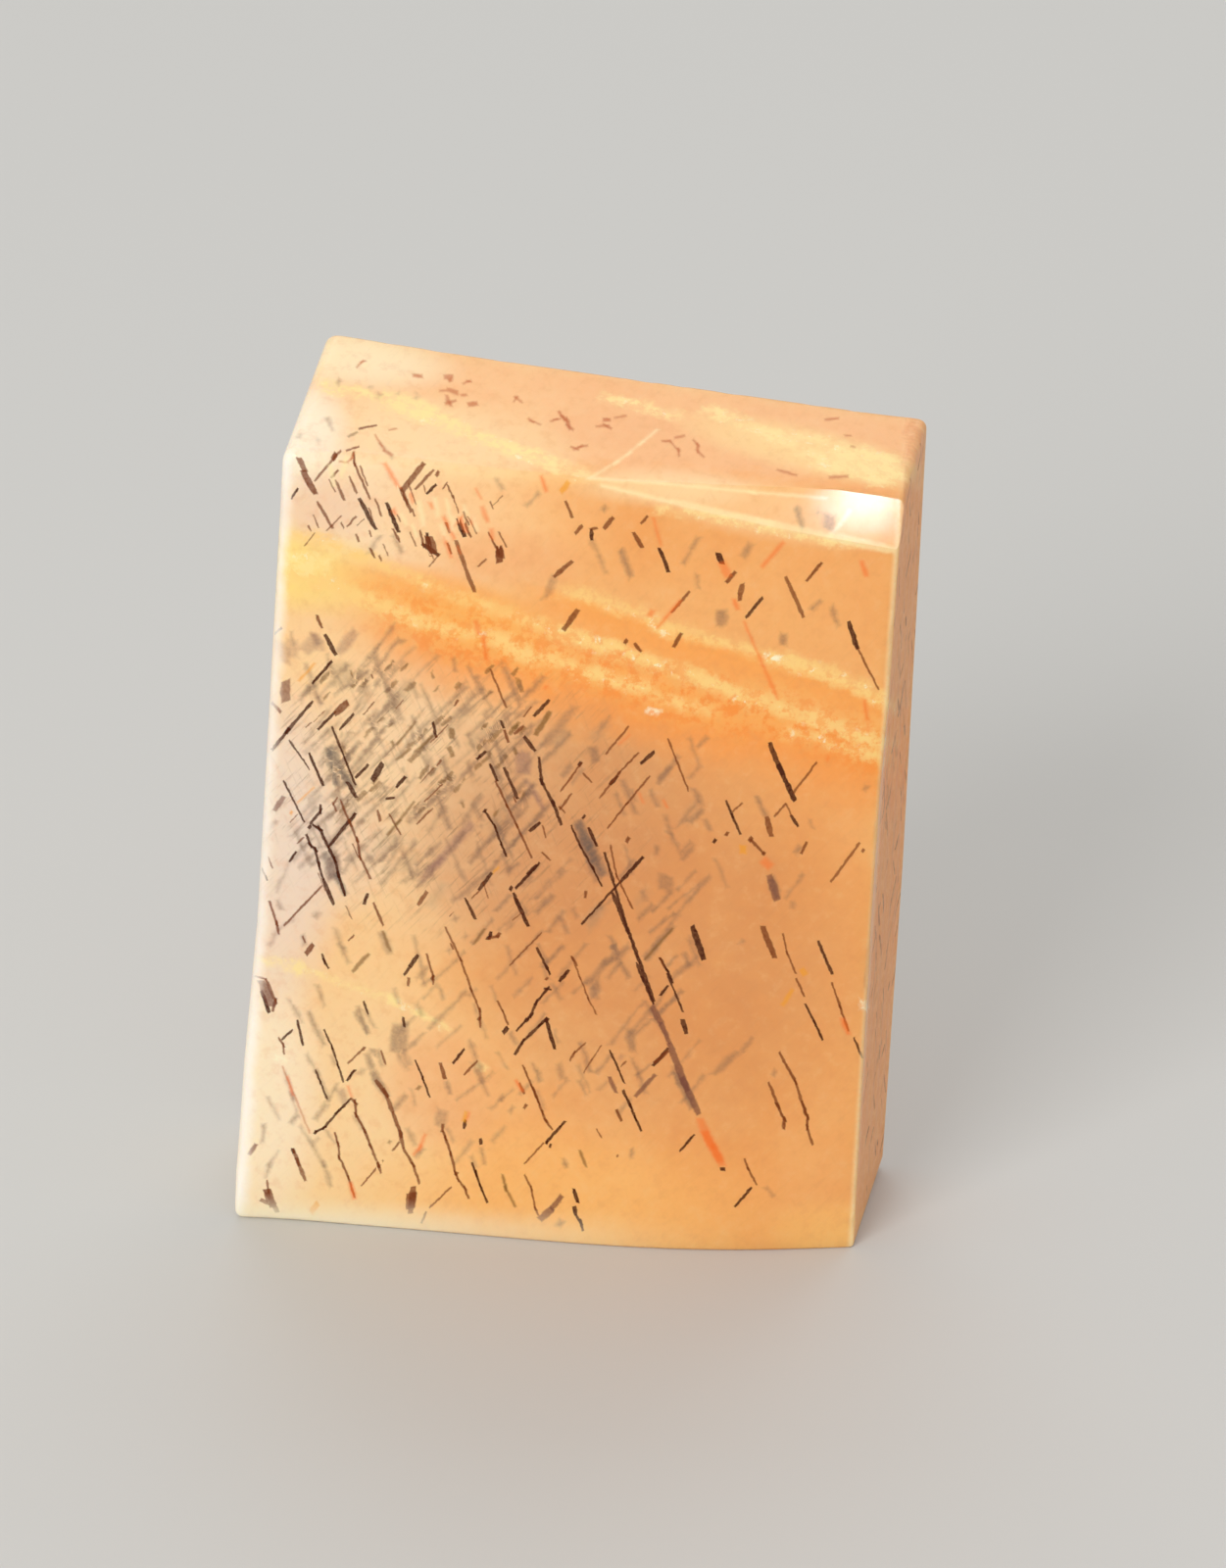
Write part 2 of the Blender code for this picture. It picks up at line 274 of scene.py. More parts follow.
# The blades: thin plates of dark iron oxide in the feldspar, cut through by the surface; a few pale lines
# among them are painted light along the front's top edge and the facet. Each is written as its width and then
# the points of its line, across and up the front as it is looked at.
# The places were picked by eye in the photograph, against a drawn ruler or in a crop, and a separate script
# turned those picked in a crop into millimetres of the slab.
BLADES = {
    "ink": [
        (.07, 1.72, 24.0, 1.9, 24.35), (.13, 3.67, 24.1, 4.15, 23.15), (.13, 4.45, 24.0, 4.8, 23.1),
        (.1, 5.87, 24.65, 5.6, 24.35), (.12, 5.62, 23.1, 5.72, 22.65), (.16, 5.5, 22.75, 5.95, 22.4),
        (.16, 6.5, 23.6, 6.7, 23.05), (.12, 10.32, 23.45, 10.36, 23.1), (.13, 12.3, 22.95, 12.58, 22.2),
        (.2, 14.0, 22.85, 14.1, 22.55), (.11, 15.3, 21.5, 14.85, 20.85), (.08, 1.43, 19.85, 1.17, 19.6),
        (.14, 2.7, 19.7, 3.0, 19.05), (.1, 2.9, 18.85, 2.33, 18.1), (.1, 3.0, 17.2, 2.5, 16.6),
        (.1, 3.53, 17.15, 3.12, 16.6), (.1, 2.33, 17.5, 1.6, 16.5, 1.15, 15.85), (.16, 1.6, 16.5),
        (.06, 1.65, 16.2, 2.25, 15.25), (.09, 2.23, 15.8, 2.65, 14.75), (.07, 2.9, 16.7, 3.6, 14.8),
        (.1, 3.97, 15.5, 3.6, 15.05), (.21, 4.38, 15.55, 4.1, 15.0), (.14, 5.05, 15.15, 4.8, 14.8),
        (.1, 5.85, 17.0, 5.95, 16.5), (.1, 7.82, 17.15, 7.92, 16.9), (.12, 9.22, 17.9, 8.8, 17.35),
        (.13, 8.5, 16.65, 8.85, 16.2), (.12, 7.4, 16.1, 7.15, 15.85), (.1, 7.53, 15.7, 7.75, 15.15),
        (.11, 7.95, 15.6, 8.35, 14.6), (.1, 8.95, 16.0, 9.05, 15.2, 9.4, 14.5, 9.65, 13.8),
        (.13, 10.15, 15.85), (.13, 12.3, 16.35, 11.93, 15.95), (.13, 11.25, 15.5, 11.05, 15.2),
        (.16, 17.8, 20.85, 18.1, 20.0), (.16, 15.65, 16.8, 16.0, 15.95, 16.45, 14.95),
        (.07, 1.48, 14.85, 2.1, 13.5), (.09, 2.57, 14.1, 2.57, 13.9, 2.27, 13.45), (.12, 2.25, 13.35),
        (.1, 2.33, 13.43, 2.55, 13.3, 2.8, 12.7), (.11, 3.6, 13.87, 2.8, 12.7),
        (.09, 2.15, 13.1, 2.28, 12.75, 2.42, 12.6, 2.52, 12.1, 2.65, 11.6), (.13, 2.65, 11.6, 2.97, 10.8),
        (.1, 2.8, 12.7, 3.0, 12.3, 3.1, 11.8, 3.3, 11.1), (.09, 1.86, 12.5, 1.65, 12.15),
        (.06, .75, 12.05, 1.0, 11.5), (.14, 3.35, 14.9, 3.62, 14.4), (.1, 4.75, 14.45, 4.5, 14.4),
        (.13, 3.97, 11.2, 3.87, 10.85), (.14, 5.47, 9.19, 5.25, 8.8), (.1, 5.25, 8.8, 5.07, 8.5),
        (.08, 2.62, 9.09, 2.69, 8.85, 2.83, 8.62), (.08, 7.4, 14.15, 7.7, 13.65, 7.88, 13.1, 8.05, 12.65),
        (.12, 7.4, 14.15), (.12, 9.02, 13.85, 8.73, 13.55),
        (.07, 9.93, 13.8, 10.22, 13.1, 10.6, 12.4, 10.87, 11.8), (.12, 10.3, 14.1),
        (.1, 10.45, 13.75, 10.7, 13.15), (.13, 12.07, 12.85, 11.4, 11.95), (.08, 11.4, 11.95, 10.3, 10.5),
        (.12, 11.2, 11.6, 11.7, 10.25), (.13, 7.62, 12.08, 7.25, 11.5), (.1, 6.85, 11.2, 7.17, 10.5),
        (.1, 9.03, 12.5, 8.35, 11.6), (.14, 8.95, 12.42, 8.7, 12.1), (.14, 8.2, 11.6),
        (.13, 8.27, 11.45, 8.73, 10.35), (.13, 7.55, 9.9), (.1, 9.0, 9.63, 9.32, 8.94, 9.41, 8.75),
        (.14, 9.95, 8.92, 9.69, 8.52), (.08, 12.65, 9.5, 12.85, 9.1, 13.05, 8.65),
        (.11, 16.37, 14.45, 16.58, 14.1), (.08, 14.45, 14.85, 14.65, 14.35, 14.9, 13.75),
        (.12, 14.15, 13.5), (.2, 13.58, 10.6, 13.95, 9.5), (.1, 17.3, 10.3, 17.75, 9.2),
        (.12, .81, 7.72, 1.05, 7.0), (.08, 1.75, 6.45, 1.42, 6.08), (.09, 1.89, 6.78, 2.06, 5.92),
        (.07, 2.69, 6.49, 2.93, 5.9, 3.12, 5.26, 3.28, 4.71), (.1, 3.61, 5.16, 3.38, 4.77),
        (.09, 3.87, 7.53, 4.01, 7.1), (.1, 5.05, 7.05, 5.09, 6.73),
        (.07, 5.42, 5.6, 5.66, 4.97, 5.87, 4.33), (.1, 6.88, 6.05, 6.55, 5.54),
        (.12, 7.64, 10.1, 7.58, 9.85), (.09, 9.44, 8.23, 9.33, 8.25, 9.01, 7.77, 8.87, 7.33, 8.73, 7.15),
        (.14, 8.73, 7.15), (.08, 8.73, 7.15, 8.43, 6.76),
        (.1, 9.34, 7.25, 9.15, 7.03, 8.63, 6.4, 8.4, 5.95), (.12, 9.32, 7.2, 9.59, 6.2), (.15, 9.33, 7.18),
        (.2, 8.17, 6.86, 8.05, 6.69), (.08, 11.95, 9.29, 12.15, 8.76, 12.5, 7.9),
        (.12, 12.96, 6.4, 12.54, 5.78), (.07, 11.23, 6.25, 11.7, 5.13), (.07, 12.87, 8.96, 13.38, 7.68),
        (.17, 13.37, 7.41, 13.5, 6.95), (.1, 12.9, 8.55, 12.7, 8.2),
        (.07, 17.0, 8.15, 17.3, 7.52, 17.56, 6.93), (.08, 18.48, 7.07, 18.75, 6.4),
        (.07, 2.43, 5.1, 2.57, 4.7, 2.79, 4.1), (.08, 3.5, 4.16, 3.1, 3.66, 2.7, 3.1, 2.43, 2.92),
        (.12, 2.43, 2.92), (.1, 9.95, 3.71, 9.41, 2.98), (.12, 9.41, 2.95), (.08, 9.53, 2.9, 9.5, 2.78),
        (.12, 7.4, 2.96, 7.43, 2.77), (.08, 7.17, 2.12, 7.29, 1.71, 7.42, 1.33, 7.64, .74),
        (.12, 7.27, 1.85, 7.33, 1.62), (.1, 6.96, 3.6, 6.9, 3.3), (.13, 10.25, 1.35, 10.38, .9),
        (.15, 10.28, .72, 10.33, .45), (.1, 10.33, .45, 10.48, .2, 10.55, -.1),
        (.09, 11.66, 4.88, 11.9, 4.35, 12.05, 3.93, 12.25, 3.5), (.08, 13.83, 3.46, 13.4, 2.86),
        (.17, 14.66, 2.3, 14.76, 2.3), (.09, 15.6, 1.7, 15.12, 1.0), (.14, 1.75, 2.3, 1.78, 2.15),
        (.09, 10.94, 12.93, 11.62, 10.56), (.12, 11.62, 10.56, 12.5, 8.0),
    ],
    "brown": [
        (.2, 1.95, 25.3, 2.1, 24.9), (.2, 2.05, 24.9, 2.4, 24.2), (.08, 3.13, 25.6, 2.38, 24.6),
        (.2, 2.95, 25.4), (.08, 3.3, 25.6, 3.65, 25.75), (.07, 3.65, 26.3, 4.15, 26.45),
        (.07, 3.5, 25.55, 3.53, 25.2, 3.97, 24.1), (.17, 5.5, 25.3, 4.9, 24.4),
        (.12, 4.85, 24.5, 5.15, 23.75), (.15, 5.9, 25.0), (.13, 6.45, 22.9, 7.0, 21.3),
        (.26, 7.7, 22.75, 7.72, 22.3), (.07, 7.33, 22.35, 7.1, 22.1), (.09, 9.58, 24.3, 9.78, 23.8),
        (.12, 10.07, 23.55, 9.88, 23.3), (.1, 10.3, 23.45, 10.5, 23.5), (.15, 10.95, 23.85, 10.7, 23.5),
        (.14, 11.55, 23.4, 11.8, 22.95), (.09, 11.95, 23.95, 11.75, 23.7), (.15, 9.8, 22.4, 9.3, 21.9),
        (.09, 13.2, 21.6, 12.7, 20.9), (.14, 14.5, 22.3, 14.25, 21.95), (.18, 14.7, 21.9, 14.65, 21.4),
        (.12, 15.95, 22.2, 16.5, 20.95), (.1, 16.95, 22.7, 16.55, 22.1), (.09, 2.45, 20.3, 2.6, 19.9),
        (.12, 1.15, 17.4, 1.4, 17.1), (.26, 3.35, 17.5, 3.0, 17.15), (.07, 7.5, 18.8, 7.97, 17.6),
        (.06, 8.72, 17.65, 8.48, 17.3), (.1, 8.5, 17.0, 8.23, 16.75), (.1, 7.93, 16.85, 8.05, 16.45),
        (.06, 10.22, 15.9, 9.6, 14.9), (.06, 10.25, 15.55, 10.5, 15.25),
        (.07, 11.85, 16.3, 11.3, 15.6, 10.75, 14.75), (.07, 11.55, 17.15, 10.9, 16.2),
        (.06, 12.2, 15.55, 11.55, 14.6, 11.0, 13.75), (.17, 10.0, 20.85, 9.6, 20.2),
        (.1, 11.65, 19.85, 11.85, 19.6), (.15, 11.4, 19.9), (.13, 13.0, 20.25, 12.8, 19.8),
        (.07, 18.1, 20.0, 18.75, 18.7), (.07, 17.05, 16.25, 16.4, 15.2), (.06, 12.7, 16.8, 13.35, 15.1),
        (.08, 3.15, 14.3, 3.45, 13.5, 3.65, 13.0, 3.75, 12.4, 4.05, 11.7), (.07, 2.63, 11.4, 1.5, 10.0),
        (.08, 1.05, 10.8, 1.28, 10.05, 1.33, 9.7), (.1, 4.25, 14.0, 4.33, 13.65),
        (.09, 4.15, 10.9, 4.43, 10.15), (.13, 5.72, 11.35, 5.47, 10.9),
        (.07, 5.73, 9.25, 5.94, 8.45, 5.94, 8.23), (.14, 5.92, 8.45), (.2, 2.15, 9.07, 2.34, 9.38),
        (.07, 2.05, 9.65, 2.12, 9.45), (.07, 7.7, 15.15, 8.05, 14.35, 8.35, 13.7, 8.8, 12.65),
        (.05, 9.1, 13.75, 9.2, 13.35), (.07, 9.93, 14.85, 9.62, 14.35, 9.75, 14.2),
        (.06, 11.1, 13.2, 11.3, 12.2, 11.8, 11.1), (.1, 10.4, 11.62, 10.4, 11.4), (.15, 11.6, 13.4),
        (.05, 7.25, 11.45, 7.05, 11.2), (.07, 9.1, 12.85, 9.35, 12.6), (.15, 7.85, 10.0),
        (.05, 9.13, 10.15, 8.2, 9.0), (.08, 10.02, 9.4, 10.2, 9.1), (.07, 16.2, 14.85, 15.88, 14.4),
        (.05, 16.2, 14.85, 16.37, 14.45), (.06, 14.93, 14.8, 14.65, 14.5), (.1, 15.2, 13.6, 15.6, 13.15),
        (.15, 15.2, 13.6), (.12, 15.6, 13.15), (.18, 15.65, 14.35, 15.8, 13.75),
        (.1, 16.85, 13.6, 16.7, 13.2), (.08, 18.4, 13.65, 17.6, 12.3), (.1, 18.5, 13.4), (.12, 14.5, 13.75),
        (.2, 15.65, 10.7, 16.03, 9.67), (.06, 16.25, 10.5, 16.4, 9.85, 16.68, 9.16),
        (.07, 16.7, 9.0, 16.96, 8.4), (.07, 17.75, 8.92, 18.03, 8.1, 18.3, 7.3),
        (.1, .95, 8.14, 1.23, 7.4, 1.15, 7.05), (.07, .62, 8.23, .95, 8.14),
        (.07, 1.33, 6.15, 1.47, 5.89, 1.49, 5.59), (.06, 3.82, 5.85, 3.4, 5.36), (.12, 3.87, 5.9),
        (.07, 4.39, 5.87, 4.53, 5.4), (.12, 5.21, 8.41, 5.19, 8.14), (.13, 6.18, 5.53, 6.32, 4.99),
        (.07, 6.27, 10.2, 6.75, 9.12, 7.07, 8.1, 7.34, 7.41, 7.36, 6.81), (.12, 7.32, 7.12),
        (.1, 7.57, 9.87, 7.86, 9.97), (.1, 9.3, 8.6), (.07, 7.85, 7.77, 8.02, 7.4, 8.18, 6.97),
        (.05, 10.04, 9.36, 10.31, 8.67, 10.56, 7.98, 10.81, 7.45), (.05, 11.73, 5.9, 11.57, 5.7),
        (.04, 10.98, 6.4, 10.7, 5.9, 10.47, 5.42), (.06, 10.51, 6.48, 10.18, 6.1, 10.06, 5.82),
        (.07, 8.64, 5.6, 8.93, 4.87, 9.18, 4.24), (.07, 7.28, 5.66, 6.89, 5.16),
        (.06, 12.65, 9.48, 12.8, 9.14), (.13, 13.0, 6.33, 12.57, 5.89),
        (.09, 16.28, 6.44, 16.8, 5.45, 17.15, 4.33), (.1, 16.0, 5.4, 16.3, 4.6, 16.5, 4.15, 16.5, 3.8),
        (.09, 17.02, 4.8, 17.2, 4.25, 17.2, 3.9, 17.38, 3.3), (.08, .97, 1.15, 1.03, .6),
        (.16, .98, .7, 1.28, .05), (.16, .78, .45, 1.1, .3), (.13, 1.77, 2.28, 1.9, 1.85, 2.13, 1.2),
        (.09, 3.5, 4.16, 3.63, 4.03, 3.66, 3.6, 3.92, 3.06, 4.1, 2.52, 4.34, 1.88, 4.43, 1.6),
        (.06, 4.48, 2.05, 3.82, 1.1), (.1, 4.36, 1.85),
        (.07, 3.02, 2.95, 3.12, 2.56, 3.16, 2.08, 3.44, 1.38, 3.63, .68),
        (.15, 4.25, 4.82, 4.53, 4.4, 4.76, 3.75), (.12, 4.76, 3.75, 5.0, 3.0, 5.09, 2.5),
        (.09, 5.09, 2.5, 5.38, 1.95, 5.59, 1.3), (.07, 4.97, 2.72, 4.76, 2.4), (.4, 5.35, .9, 5.33, .45),
        (.22, 5.4, 1.15, 5.33, .25), (.12, 6.27, 3.4, 6.25, 3.15),
        (.08, 6.27, 3.18, 6.36, 2.93, 6.52, 2.39, 6.67, 1.73, 6.74, 1.5, 6.96, 1.2, 7.08, .84),
        (.13, 6.7, 1.7), (.06, 6.55, 1.22, 5.89, .45), (.08, 5.8, .3, 5.65, -.1),
        (.08, 8.55, 4.98, 8.7, 4.6), (.08, 8.97, 4.79, 9.26, 3.98, 9.36, 3.71, 9.56, 3.4),
        (.15, 8.74, 4.17), (.05, 9.32, 2.93, 8.74, 2.15), (.07, 8.76, 1.79, 8.96, 1.31, 9.1, .6, 9.2, .38),
        (.12, 11.48, 4.2, 11.63, 3.83), (.05, 10.9, 3.5, 11.05, 3.2), (.08, 11.54, 2.6),
        (.07, 15.36, 2.7, 15.48, 2.35, 15.75, 1.82), (.32, .98, .8, 1.14, .25),
        (.34, 5.68, 22.95, 5.8, 22.5), (.3, 7.72, 22.72, 7.75, 22.46),
    ],
    "olive": [
        (.08, 5.35, 17.0, 4.8, 16.2), (.1, 5.2, 16.1, 4.8, 15.7), (.1, 5.85, 16.55, 5.45, 16.1),
        (.2, 6.4, 16.8, 6.4, 16.5), (.18, 9.25, 17.5, 8.85, 16.75),
        (.09, 5.33, 14.35, 4.87, 13.65, 4.55, 13.2), (.13, 3.54, 8.54, 4.01, 9.16),
        (.09, 8.09, 1.75, 8.2, 1.26, 8.5, .63), (.1, 10.4, 2.72, 10.6, 2.16), (.14, 5.52, 4.64),
        (.1, 4.67, 2.7), (.08, 3.35, 26.05, 3.6, 26.2), (.1, 4.42, 9.95, 4.65, 9.3),
        (.1, 7.45, 10.2, 7.13, 9.65), (.08, 13.0, 10.5, 12.2, 9.4),
    ],
    "umber": [
        (.15, 5.2, 28.07, 5.44, 28.07), (.2, 6.09, 28.07, 6.29, 28.09), (.14, 6.23, 28.01, 6.25, 27.95),
        (.06, 5.94, 27.63, 6.14, 27.65), (.18, 6.18, 27.68, 6.44, 27.59),
        (.11, 6.14, 27.49, 6.22, 27.27, 6.4, 27.34), (.09, 6.56, 27.51, 6.7, 27.54),
        (.2, 6.78, 27.23, 7.0, 27.28), (.06, 6.61, 27.88, 6.77, 27.97, 6.85, 27.96),
        (.06, 8.48, 26.87, 8.58, 26.79, 8.82, 26.69), (.05, 4.51, 26.31, 4.73, 26.37),
        (.05, 4.11, 26.14, 4.28, 25.84, 4.4, 25.67), (.09, 4.36, 25.67, 4.6, 25.52),
        (.05, 3.1, 25.25, 3.28, 25.24, 3.44, 25.36, 3.52, 25.58),
        (.09, 9.34, 27.14, 9.46, 26.95, 9.57, 26.86, 9.63, 26.67, 9.75, 26.58),
        (.05, 9.11, 26.81, 9.25, 26.88, 9.43, 26.92), (.14, 10.62, 26.94, 10.79, 26.95),
        (.08, 10.42, 26.71, 10.68, 26.75, 10.83, 26.66), (.06, 10.93, 27.02, 11.25, 27.1),
        (.07, 9.7, 26.03, 9.85, 25.98, 9.97, 26.05, 10.17, 26.09), (.07, 12.29, 26.33, 12.52, 26.36),
        (.09, 12.66, 26.46, 12.92, 26.54), (.05, 12.52, 26.33, 12.76, 26.08, 12.79, 25.89),
        (.06, 13.18, 26.42, 13.3, 26.27, 13.31, 26.08, 13.49, 25.89), (.08, 16.9, 27.25, 17.27, 27.32),
        (.05, 17.47, 26.76, 17.64, 26.78), (.05, 17.65, 26.44, 17.77, 26.42),
        (.09, 15.59, 25.59, 16.15, 25.44), (.1, 17.08, 25.42, 17.6, 25.48),
        (.06, 8.05, 27.38, 8.13, 27.51, 8.29, 27.37), (.045, 1.44, 5.17, 2.26, 2.89),
        (.05, 3.59, 28.26, 3.74, 28.44, 3.84, 28.49),
    ],
    "mauve": [
        (.35, 1.55, 18.1, 1.55, 17.5), (.18, 1.48, 14.3, 1.22, 13.85), (.25, 12.45, 7.8, 12.74, 7.27),
        (.17, 12.74, 7.27, 13.0, 6.57), (.22, 13.0, 6.57, 13.5, 5.2, 13.94, 4.2),
        (.28, 15.8, 12.4, 16.05, 11.65), (.15, 12.6, 5.47, 12.03, 4.7), (.13, 11.24, 5.33, 11.45, 4.8),
        (.2, 9.88, 1.08, 9.6, .62), (.27, 9.6, .62, 9.25, .25), (.14, .64, 2.4, .43, 2.05),
        (.3, .82, 8.05, 1.12, 7.25),
    ],
    "rust": [
        (.12, 4.4, 25.25, 4.8, 24.5), (.15, 7.2, 24.0, 7.36, 23.55), (.15, 7.47, 23.3, 7.5, 23.0),
        (.15, 6.9, 23.5), (.1, 8.88, 25.05, 9.02, 24.6), (.08, 12.1, 23.9, 12.35, 23.05),
        (.28, 14.1, 22.55, 14.3, 22.15), (.15, 14.5, 21.4, 14.6, 21.1), (.12, 15.85, 23.3, 15.25, 22.5),
        (.15, 18.1, 22.8, 18.25, 22.35), (.18, 7.05, 20.35, 7.15, 19.95), (.1, 7.27, 19.9, 7.38, 19.15),
        (.08, 9.1, 18.3), (.1, 12.95, 21.3, 12.3, 20.4), (.2, 12.1, 20.85), (.06, 14.8, 20.7, 15.4, 19.3),
        (.1, 15.4, 19.3, 15.85, 18.25), (.12, 17.35, 16.4), (.08, 18.35, 18.35, 18.45, 17.75),
        (.35, 15.6, 12.9, 15.8, 12.75), (.28, 14.0, 4.0, 14.27, 3.3, 14.5, 2.85, 14.7, 2.45),
        (.15, 18.12, 7.7, 18.3, 7.2), (.12, 7.06, 3.85, 6.98, 3.6), (.07, 3.42, 4.58, 3.52, 4.21),
        (.06, 1.59, 4.81, 1.75, 4.2), (.09, 5.75, 3.03, 5.59, 2.55, 5.4, 2.3), (.14, 3.5, 1.2, 3.62, .65),
        (.1, 8.45, 5.06, 8.65, 4.7),
    ],
    "gold": [
        (.2, 9.65, 24.9, 9.45, 24.6), (.08, 2.4, 18.75, 1.93, 18.15), (.06, 2.38, 14.67, 1.9, 14.14),
        (.1, 1.7, 13.8), (.08, 7.83, 12.3, 7.67, 12.1), (.3, 15.0, 13.35, 15.0, 13.15),
        (.25, 16.85, 9.3, 16.95, 9.15), (.15, 16.6, 8.6, 16.33, 8.07), (.25, 2.5, .4, 2.32, .1),
        (.16, 6.97, 3.88, 6.9, 3.55),
    ],
    "pale": [
        (.07, 10.25, 25.05, 11.0, 25.6, 11.35, 25.9, 11.7, 26.25, 12.15, 26.7),
        # Painted light, not blades: from here to the two short pieces at 17.1 to 17.7 across, the lines lie
        # along the front's top edge, along the facet's lower edge and across the facet.
        (.09, 10.2, 25.06, 12.3, 25.0, 14.9, 24.85, 17.0, 24.75), (.14, 10.6, 24.85, 12.6, 24.42),
        (.22, 12.6, 24.44, 15.3, 23.92, 17.2, 23.54), (.3, 17.2, 23.56, 19.0, 23.2),
        (.1, 17.1, 23.5, 17.45, 23.95), (.12, 17.45, 23.95, 17.7, 24.4), (.18, 5.39, 24.07, 5.52, 23.35),
        (.14, 5.84, 24.23, 5.93, 23.65), (.12, 6.17, 24.2, 6.3, 23.57), (.15, 6.38, 23.67, 6.34, 23.21),
        (.12, 5.2, 23.34, 5.32, 22.98), (.14, 6.01, 23.38, 6.18, 22.93), (.11, 6.66, 24.04, 6.78, 23.69),
        (.14, 4.87, 23.68, 5.03, 23.33), (.11, 6.95, 23.6, 7.07, 23.25), (.12, 3.31, 25.41, 3.15, 24.77),
        (.14, 2.82, 25.12, 2.95, 24.49),
    ],
}

